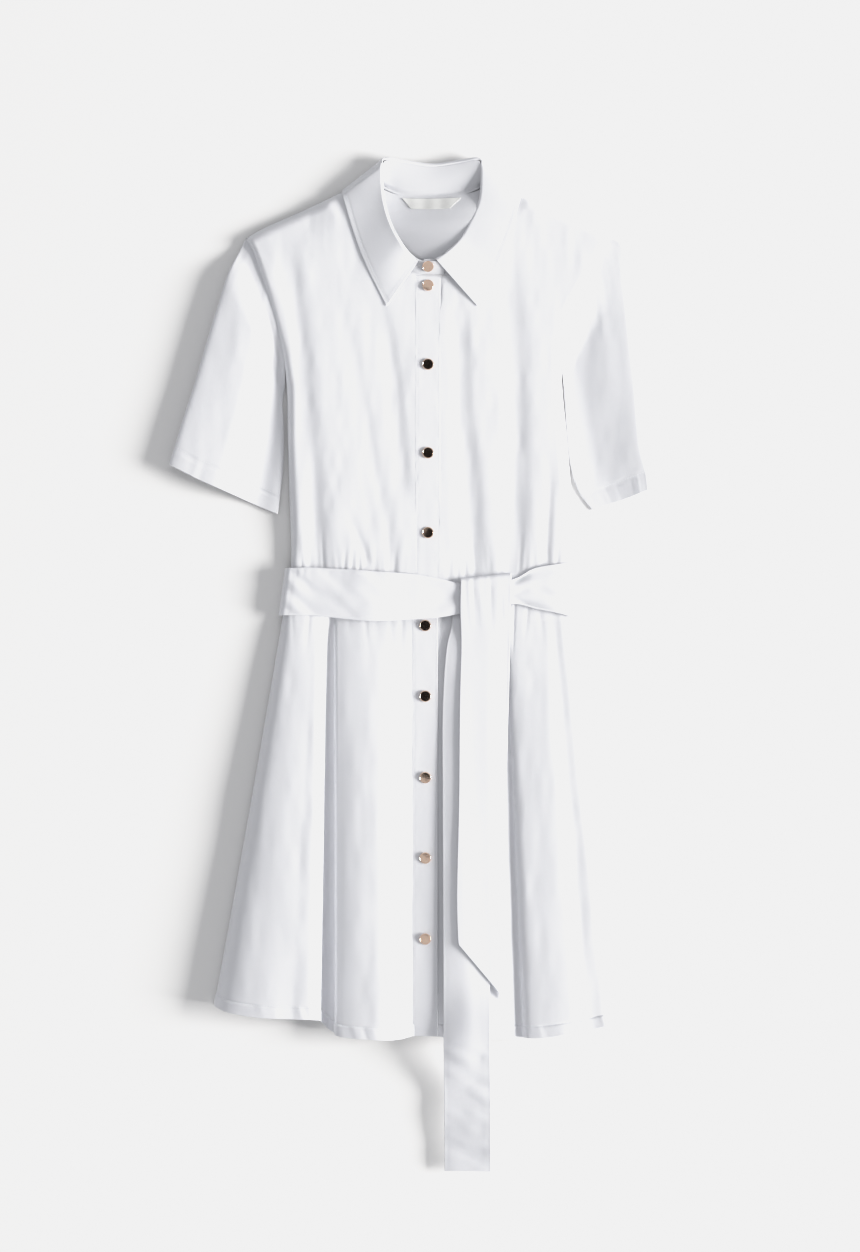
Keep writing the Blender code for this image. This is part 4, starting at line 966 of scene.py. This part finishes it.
def beltBand():
    edges = spline(belt, beltLook["perSpan"])
    edges[:, 4] = np.maximum(edges[:, 4], cadCloth)
    xUpper, yUpper, xLower, yLower, z = edges.T[..., None]
    share = np.linspace(0, 1, beltLook["lines"])[None, :]
    x, y, z = mix(xLower, xUpper, share), mix(yLower, yUpper, share), z + 0 * share
    relief = beltRelief(x, y, share, z) * smooth(np.minimum(share, 1 - share) / 0.06 + 0.3)
    grid = np.dstack([x, y, z + relief + beltLook["lift"] * ramp(z, 8, 10)])
    clothShell("belt", "belt_band", grid, beltLook["wall"], cotton, -1)


# Belt tails: x and y of the left and the right edge of each section down the tail, and how far it
# stands off what it lies on. The lower one runs past the hem, the upper one from the knot to a point.
tailLower = [
    (26, -2, 66, -4, 0), (25, -30, 67, -32, 0), (20, -52, 65, -54, 0.4), (15.8, -108, 62.5, -108, 0.9),
    (15.5, -212, 62, -212, 2), (16, -320, 62, -320, 3), (16.4, -420, 63, -420, 3.6),
    (16.5, -470, 63.5, -470, 6.2), (17.2, -530, 64.5, -530, 8), (17.5, -592, 64.8, -592, 7.4)]
tailUpper = [
    (34, 7, 85, 12.5, 0.3), (33.5, -14, 84.5, -12, 0.3), (34.5, -46, 84, -46, 0.3),
    (33, -108, 82.4, -108, 0.3), (32, -212, 79.3, -212, 0.3), (30, -314, 79.3, -314, 0.3),
    (31, -350, 79.3, -352, 0.3), (32, -358.5, 79.3, -415, 0.3)]

tailLook = {"wall": 1.1, "perSpan": 26, "lines": 30, "width": 48, "seam": 2.56, "groove": 0.22,
            "creases": 0.6, "scallops": 0.5, "curl": 6.6, "unevenness": 0.25, "pleats": 0.45,
            "ripple": 0.9, "knotZ": 14.0, "overTail": 0.5, "turnRadius": 2.9, "level": (2.0, 4.0, 6.0)}

hemY, knotY = -456, -14  # where the lower tail leaves the skirt and where the knot ends
groundStep = 3.0  # grid of the skirt's heights that the tails are laid on
groundX = np.arange(-12, 110, groundStep)
groundY = np.arange(hemY, 3, groundStep)


def skirtGround():
    heights = np.zeros((len(groundX), len(groundY)))
    for j, y in enumerate(groundY):
        section = spline(skirtSection(skirtRight, min(max(-y / 454.0, 0.0), 1.0)), 6)
        order = np.argsort(section[:, 0])
        heights[:, j] = np.interp(groundX, section[order, 0], section[order, 2]) + cadCloth
    reach = 2  # cloth laid on it spans the small hollows
    spread = np.pad(heights, reach, mode="edge")
    return np.max([spread[a:a + heights.shape[0], b:b + heights.shape[1]]
                   for a in range(2 * reach + 1) for b in range(2 * reach + 1)], axis=0)


groundHeights = skirtGround()


def bridged(x, y):
    # height of the ground between the points of its grid
    u, v = (np.clip((value - places[0]) / groundStep, 0, len(places) - 1.001)
            for value, places in ((x, groundX), (y, groundY)))
    return between(groundHeights, u, v, np.asarray)  # straight from point to point


def lowerGround(x, y):
    # what the lower tail lies on: the bodice behind the knot, the skirt, then the table past the hem
    onSkirt = bridged(x, np.maximum(y, -448))
    wave = 1 - np.cos((y - hemY) / 19 + x / 40)
    ripple = tailLook["ripple"] * wave * ramp(y, -470, -500) * ramp(y, -600, -560)
    height = np.where(y < hemY, onSkirt * ramp(y, -520, hemY) + ripple, onSkirt)
    return np.where(y > knotY, bodice["waistRise"] + cadCloth, height)


def standOff(x, y, lift):
    # the lower tail stands off the skirt, most along its left edge
    return lift * (1 - 0.75 * ramp(x, 16, 63) * ramp(y, -520, -460))


def upperGround(x, y):
    # what the upper tail lies on: the knot, then the lower tail and the skirt
    knot = tailLook["knotZ"] + cadCloth + gap
    rows = np.array(tailLower, float)
    overTail = np.max([lowerGround(x + step, y) for step in (-6, 0, 6)], axis=0)
    overTail = overTail + tailLook["wall"] + tailLook["overTail"]
    overTail = overTail + standOff(x, y, np.interp(-y, -rows[:, 1], rows[:, 4]))
    hanging = mix(np.maximum(bridged(x, y), overTail - 2.2), overTail, ramp(x, 82, 70))
    return mix(knot, hanging, ramp(y, -16, -60))


def tailPlan(table):
    xLeft, yLeft, xRight, yRight, lift = spline(table, tailLook["perSpan"]).T
    share = np.linspace(0, 1, tailLook["lines"])[:, None]
    fromEdge = np.minimum(share, 1 - share) * tailLook["width"]
    wall = tailLook["wall"] - tailLook["groove"] * bell(fromEdge - tailLook["seam"], 0.7)  # pressed edges
    return mix(xLeft, xRight, share), mix(yLeft, yRight, share), lift[None, :], share, wall


def beltTails():
    x, y, lift, share, wall = tailPlan(tailLower)
    low = ramp(y, -455, -475)
    creases = softNoise(x - 0.35 * y, y + 0.45 * x, 70, 11, 71) + 0.4 * softNoise(x + 0.5 * y, y, 14, 8, 72)
    scallops = softNoise(0 * x, y, 1.0, 9.0, 73) * ramp(share, 0.75, 0.95) * low
    height = lowerGround(x, y) + gap + standOff(x, y, lift)
    height = height + tailLook["unevenness"] * softNoise(x, y, 18, 40, 74)
    height = height + tailLook["creases"] * np.maximum(creases * low, -0.6)
    height = height + tailLook["scallops"] * np.maximum(scallops, -0.5)
    height = height + tailLook["curl"] * share * ramp(y, -385, -445)
    clothShell("belt_tail_under", "belt_tail_lower", np.dstack([x, y, np.maximum(height, 0.4)]), wall,
               cotton, -1)
    x, y, lift, share, wall = tailPlan(tailUpper)
    pleat = softNoise(share * 48 + 0.06 * y, y, 3.4, 60, 75) * ramp(y, -46, 4) * ramp(y, 14, 6)
    height = upperGround(x, y) + gap + lift + tailLook["pleats"] * pleat
    grid = np.dstack([x, y, height + tailLook["unevenness"] * softNoise(x, y, 18, 55, 76)])
    radius, level, turn = tailLook["turnRadius"], tailLook["level"], []
    for angle in np.linspace(0, math.pi * 0.8, 9)[1:]:  # the tail turns down over the belt's top edge
        turn.append(grid[:, 0] + [0, level[-1] + radius * math.sin(angle), -radius * (1 - math.cos(angle))])
    turn = [*turn[::-1], *(grid[:, 0] + [0, step, 0] for step in level[::-1])]
    grid = np.concatenate([np.array(turn).transpose(1, 0, 2), grid], axis=1)
    clothShell("belt_tail_over", "belt_tail_upper", grid, wall, cotton, -1)


beltBand()
beltTails()
print("belt tied")

# Turned cap, as radius and height shares: foot, rounded rim with a bead, groove, gently domed face.
capLook = {"radius": 5.9, "height": 1.6, "steps": 72, "weld": 0.000004, "lift": 0.1,
           "skirtLift": 0.3, "profile": [
    (0.0, 0.02), (0.62, 0.02), (0.80, 0.03), (0.86, 0.12), (0.96, 0.22), (1.0, 0.40), (0.99, 0.58),
    (0.975, 0.80), (0.95, 0.91), (0.93, 0.93), (0.91, 0.90), (0.885, 0.82), (0.85, 0.81), (0.75, 0.825),
    (0.55, 0.845), (0.35, 0.86), (0.15, 0.868), (0.0, 0.87)]}
# How each cap sits: degrees up or down, then left or right.
capTilts = [(4, 3), (-6, 4), (1, -1), (0, 2), (-2, -4), (2, 0), (1, 2), (5, -3), (6, -4), (7, -2)]


def buttonCap(name, node, place, tilt, lean):
    outline = spline([(r * capLook["radius"], 0, h * capLook["height"]) for r, h in capLook["profile"]], 3)
    outline[:, 0] = np.maximum(outline[:, 0], 0)
    edges = [(k, k + 1) for k in range(len(outline) - 1)]
    rough = link(name + "_profile", meshOf(name, outline[::-1], edges, []))
    turned = rough.modifiers.new("turned", "SCREW")
    turned.steps = turned.render_steps = capLook["steps"]
    turned.use_merge_vertices = True
    turned.merge_threshold = capLook["weld"]
    solid = plainMesh(rough)
    a, b = math.radians(tilt), math.radians(lean)
    turnX = np.array([[1, 0, 0], [0, math.cos(a), -math.sin(a)], [0, math.sin(a), math.cos(a)]])
    turnY = np.array([[math.cos(b), 0, math.sin(b)], [0, 1, 0], [-math.sin(b), 0, math.cos(b)]])
    points = np.array([vertex.co for vertex in solid.vertices]) @ (turnX @ turnY).T + np.array(place) * mm
    solid.vertices.foreach_set("co", points.astype(np.float32).ravel())
    solid.materials.append(gold)
    solid.shade_smooth()
    wear(link(name, solid), node)


def buttons():
    seamY, seamZ, rollY, rollZ = (stand[0][k] for k in (1, 2, 4, 5))
    run, climb = rollY - seamY, float(rollHeight(0.0, rollZ)) - seamZ
    slant, share = math.atan2(climb, run), collarLook["firstButton"]
    bulge = collarLook["standBulge"] * (math.sin(math.pi * share) + 0.2)
    places = [(bodiceButtonX, seamY + run * share - gap * math.sin(slant),
               seamZ + climb * share + gap * math.cos(slant) + bulge)]
    for y in buttonsBodiceY:
        height = float(bodiceHeight(placket["seamX"], y)) + cadCloth
        places.append((bodiceButtonX, y, height + capLook["lift"]))
    for y in buttonsSkirtY:
        share = -y / skirt["hemY"]
        climb = placket["climb"] * placket["buttonIn"] * share
        height = skirtSection(skirtLeft, share)[-1][2] + cadCloth + climb
        places.append((skirtButtonX, y, height + capLook["skirtLift"]))
    for number, (place, (tilt, lean)) in enumerate(zip(places, capTilts), start=1):
        tilt += math.degrees(slant) if number == 1 else 0  # the first lies on the sloping neck band
        buttonCap(f"cap_{number:02d}", f"button_{number:02d}", place, tilt, lean)


buttons()
print("buttons set")

# Geometry Nodes sew a row of stitches along each seam line.
stitchSizes = {"Pitch": 2.7 * mm, "Stitch Length": 2.0 * mm, "Thread Radius": 0.19 * mm, "Unevenness": 0.12}


def stitchTree():
    tree = bpy.data.node_groups.new("stitch_row", "GeometryNodeTree")
    face = tree.interface
    face.new_socket("Geometry", in_out="INPUT", socket_type="NodeSocketGeometry")
    for name, value in stitchSizes.items():
        face.new_socket(name, in_out="INPUT", socket_type="NodeSocketFloat").default_value = value
    face.new_socket("Seed", in_out="INPUT", socket_type="NodeSocketInt").default_value = 7
    face.new_socket("Thread", in_out="INPUT", socket_type="NodeSocketMaterial")
    face.new_socket("Geometry", in_out="OUTPUT", socket_type="NodeSocketGeometry")
    given, result = tree.nodes.new("NodeGroupInput").outputs, tree.nodes.new("NodeGroupOutput")

    def add(kind, sockets, output=0, **settings):
        return addNode(tree, kind, settings, sockets, output)

    path = add("GeometryNodeMeshToCurve", {"Mesh": given["Geometry"]})
    spaced = add("GeometryNodeResampleCurve", {"Curve": path, "Length": given["Pitch"]}, mode="LENGTH")
    bead = add("GeometryNodeMeshUVSphere", {"Segments": 6, "Rings": 5, "Radius": 1.0})
    half = add("ShaderNodeMath", {0: given["Stitch Length"], 1: 0.5}, operation="MULTIPLY")
    size = add("ShaderNodeCombineXYZ", {"X": half, "Y": given["Thread Radius"], "Z": given["Thread Radius"]})
    stitch = add("GeometryNodeTransform", {"Geometry": bead, "Scale": size})
    tangent = add("GeometryNodeInputTangent", {})
    turned = add("FunctionNodeAlignRotationToVector", {"Vector": tangent}, axis="X")
    low, high = (add("ShaderNodeMath", {0: 1.0, 1: given["Unevenness"]}, operation=kind)
                 for kind in ("SUBTRACT", "ADD"))
    varied = add("FunctionNodeRandomValue", {2: low, 3: high, "Seed": given["Seed"]}, 1)
    placed = add("GeometryNodeInstanceOnPoints", {"Points": spaced, "Instance": stitch, "Rotation": turned,
                                                  "Scale": varied})
    real = add("GeometryNodeRealizeInstances", {"Geometry": placed})
    rounded = add("GeometryNodeSetShadeSmooth", {"Geometry": real})
    dressed = add("GeometryNodeSetMaterial", {"Geometry": rounded, "Material": given["Thread"]})
    tree.links.new(dressed, result.inputs[0])
    return tree


def sew(name, lines, tree):
    points, edges = [], []
    for line in lines:
        first = len(points)
        points.extend(line)
        edges.extend((first + k, first + k + 1) for k in range(len(line) - 1))
    host = link(name + "_line", meshOf(name + "_line", points, edges, []))
    rows = host.modifiers.new("stitches", "NODES")
    rows.node_group = tree
    sockets = {item.name: item.identifier for item in tree.interface.items_tree if item.in_out == "INPUT"}
    rows[sockets["Thread"]] = thread
    wear(link(name, plainMesh(host)), None)


rowOfStitches = stitchTree()
for seamName, seams in seamLines.items():
    sew(seamName, seams, rowOfStitches)
print("seams sewn")

# Studio: pale table, broad low key from the right, soft sky with a dark patch behind the camera.
studio = {"keyPlace": (6.5, -0.6, 2.15), "keySize": (3.0, 2.1), "keyPower": 1180.0,
          "keyColour": (1.0, 0.99, 0.975), "sky": 0.58,
          "skyStops": [(0.962, (0.965, 0.972, 1.0, 1)), (0.978, (0.02, 0.02, 0.022, 1))],
          "table": (0.86, 0.855, 0.845, 1), "tableSize": 24.0}
# tone response: lit cloth and table both end in the same pale white
response = [(0.0, 0.0), (0.35, 0.35), (0.6, 0.6), (0.78, 0.765), (0.92, 0.855), (1.05, 0.885), (1.3, 0.888)]
lens = {"height": 4.0, "focal": 111.6, "sensor": 36.0, "x": 2.06 * mm, "y": -31.9 * mm}


def tableTop():
    bpy.ops.mesh.primitive_plane_add(size=studio["tableSize"], location=(0, 0, 0))
    top = bpy.context.object
    top.name = "table_top"
    paint = Surface("table_paint", Roughness=0.9, Specular_IOR_Level=0.1)
    cloud = paint.noise(paint.place(), 1.5)
    paint.feed("Base Color", paint.blend(cloud, dulled(studio["table"], 0.995), studio["table"]))
    top.data.materials.append(paint.material)


def keyLight():
    light = bpy.data.lights.new("key", "AREA")
    light.shape = "RECTANGLE"
    light.size, light.size_y = studio["keySize"]
    light.energy = studio["keyPower"]
    light.color = studio["keyColour"]
    key = link("key", light)
    key.location = studio["keyPlace"]
    key.rotation_euler = Vector(studio["keyPlace"]).to_track_quat("Z", "Y").to_euler()


def sky():
    world = bpy.data.worlds.new("soft_sky")
    bpy.context.scene.world = world
    world.use_nodes = True
    tree = world.node_tree
    ground = tree.nodes["Background"]
    ground.inputs["Strength"].default_value = studio["sky"]
    where = addNode(tree, "ShaderNodeTexCoord", {}, {}, "Generated")
    up = addNode(tree, "ShaderNodeSeparateXYZ", {}, {0: where}, "Z")
    shade = addNode(tree, "ShaderNodeValToRGB", {"stops": studio["skyStops"]}, {0: up})
    tree.links.new(shade, ground.inputs["Color"])


def camera():
    shot = bpy.data.cameras.new("camera")
    shot.lens, shot.sensor_width, shot.sensor_fit = lens["focal"], lens["sensor"], "AUTO"
    shot.clip_start, shot.clip_end = 0.1, 60
    eye = link("camera", shot)
    eye.location = (lens["x"], lens["y"], lens["height"])
    bpy.context.scene.camera = eye
    view = bpy.context.scene.view_settings
    view.view_transform = "Standard"
    view.use_curve_mapping = True
    view.curve_mapping.clip_max_x = response[-1][0]
    view.curve_mapping.extend = "HORIZONTAL"
    curve = view.curve_mapping.curves[3]
    curve.points[0].location, curve.points[-1].location = response[0], response[-1]
    for place in response[1:-1]:
        curve.points.new(*place)
    view.curve_mapping.update()


tableTop()
keyLight()
sky()
camera()
print("studio lit")
